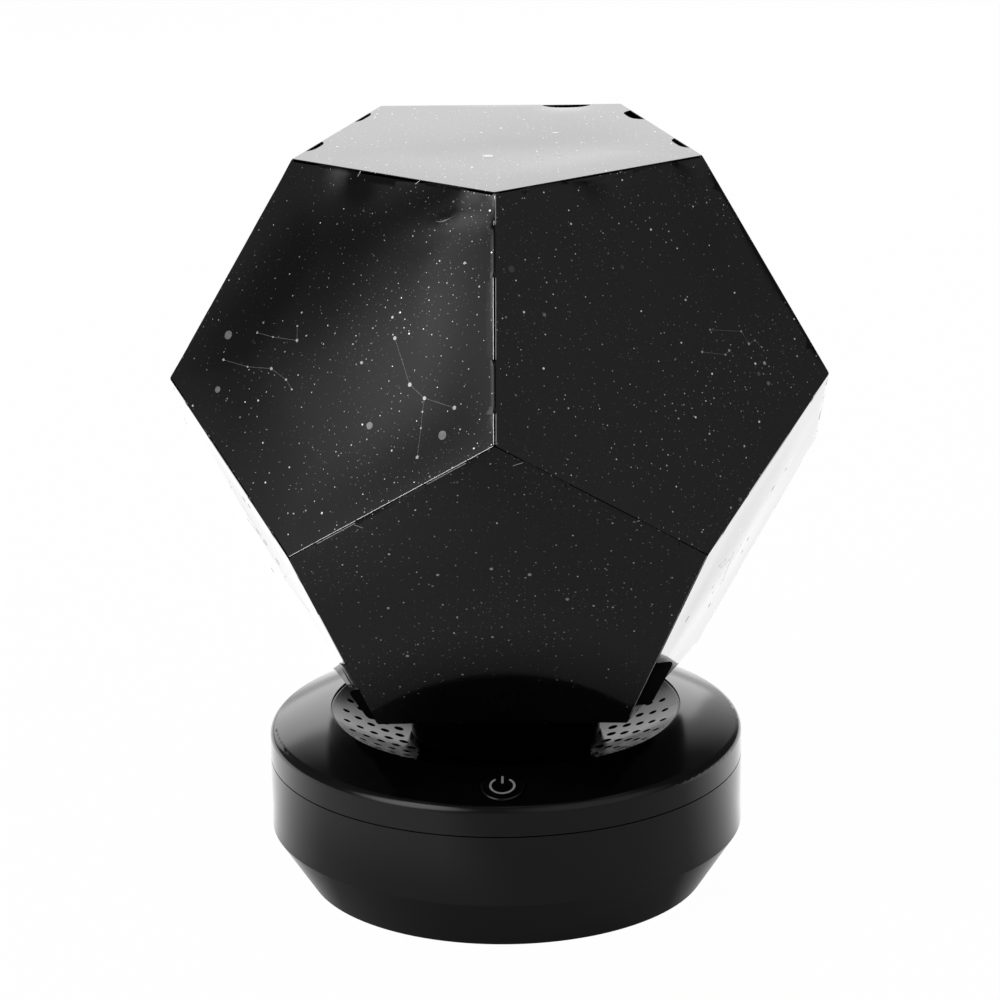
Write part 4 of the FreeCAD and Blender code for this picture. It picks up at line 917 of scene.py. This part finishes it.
def lobe(direction, inner, outer, low, high):
    """Light that fades smoothly from high at the inner angle round a direction to low at the outer one."""
    along = tree.nodes.new("ShaderNodeVectorMath")
    along.operation = "DOT_PRODUCT"
    along.inputs[1].default_value = Vector(direction).normalized()
    tree.links.new(coords.outputs["Generated"], along.inputs[0])
    ramp = tree.nodes.new("ShaderNodeMapRange")
    ramp.interpolation_type = "SMOOTHSTEP"
    for name, value in (("From Min", math.cos(math.radians(outer))),
                        ("From Max", math.cos(math.radians(inner))), ("To Min", low), ("To Max", high)):
        ramp.inputs[name].default_value = value
    tree.links.new(along.outputs["Value"], ramp.inputs["Value"])
    return ramp.outputs["Result"]


def plus(first, second):
    """Sum of two lights."""
    total = tree.nodes.new("ShaderNodeMath")
    tree.links.new(first, total.inputs[0])
    tree.links.new(second, total.inputs[1])
    return total.outputs[0]


# Lights of the room: direction, angles in degrees where a light is full and where it
# ends, and its strength outside and inside.
room_light = lobe((-0.3, -0.95, 0), 0, 180, 0.1, 0.27)
right_window = lobe((0.641, -0.641, 0.423), 12, 45, 0.0, 0.58)
behind = lobe((-0.1, 0.98, 0.15), 12, 38, 0.0, 0.9)
left_window = lobe((-0.681, -0.607, 0.41), 5, 32, 0.0, 3.9)
rays = tree.nodes.new("ShaderNodeLightPath")
room = tree.nodes.new("ShaderNodeBackground")
room.inputs["Color"].default_value = (1, 1, 1, 1)
tree.links.new(plus(plus(room_light, right_window), plus(behind, left_window)), room.inputs["Strength"])
white = tree.nodes.new("ShaderNodeBackground")
white.inputs["Color"].default_value = (1, 1, 1, 1)
white.inputs["Strength"].default_value = 1.0
mixed = tree.nodes.new("ShaderNodeMixShader")
tree.links.new(rays.outputs["Is Camera Ray"], mixed.inputs[0])
tree.links.new(room.outputs[0], mixed.inputs[1])
tree.links.new(white.outputs[0], mixed.inputs[2])
surface = tree.nodes.new("ShaderNodeOutputWorld")
tree.links.new(mixed.outputs[0], surface.inputs["Surface"])


def softbox(name, place, target, width, height, watts):
    """Rectangular lamp at a place, turned to a target."""
    lamp = bpy.data.lights.new(name, "AREA")
    lamp.shape = "RECTANGLE"
    lamp.size = width
    lamp.size_y = height
    lamp.energy = watts
    thing = bpy.data.objects.new(name, lamp)
    bpy.context.scene.collection.objects.link(thing)
    thing.location = place
    away = Vector(target) - Vector(place)
    thing.rotation_euler = away.to_track_quat("-Z", "Y").to_euler()


softbox("rear_softbox", (-0.28, 1.05, 0.36), (0, 0, 0.15), width=1.2, height=0.4, watts=1.9)
softbox("front_softbox", (-0.62, -0.69, 0.91), (0, 0, 0.05), width=0.5, height=0.25, watts=0.7)
softbox("top_softbox", (0.15, 0.1, 1.3), (0, 0, 0.1), width=1.0, height=1.0, watts=1.5)

# Camera fitted to the photo: place and aim in metres, lens and sensor in millimetres,
# sideways shift as a share of the picture, and roll in degrees.
EYE = (0.01994, -1.00296, 0.42173)
AIM = (0, 0, 0.099026)
LENS = 151.263
SENSOR = 36
SHIFT = -0.00279
ROLL = -0.7628

camera = bpy.data.cameras.new("camera")
camera.lens = LENS
camera.sensor_width = SENSOR
camera.shift_x = SHIFT
camera_object = bpy.data.objects.new("camera", camera)
bpy.context.scene.collection.objects.link(camera_object)
look = (Vector(AIM) - Vector(EYE)).to_track_quat("-Z", "Y").to_matrix().to_4x4()
camera_object.matrix_world = Matrix.Translation(EYE) @ look @ Matrix.Rotation(math.radians(ROLL), 4, "Z")
bpy.context.scene.camera = camera_object
bpy.context.scene.view_settings.view_transform = "Standard"
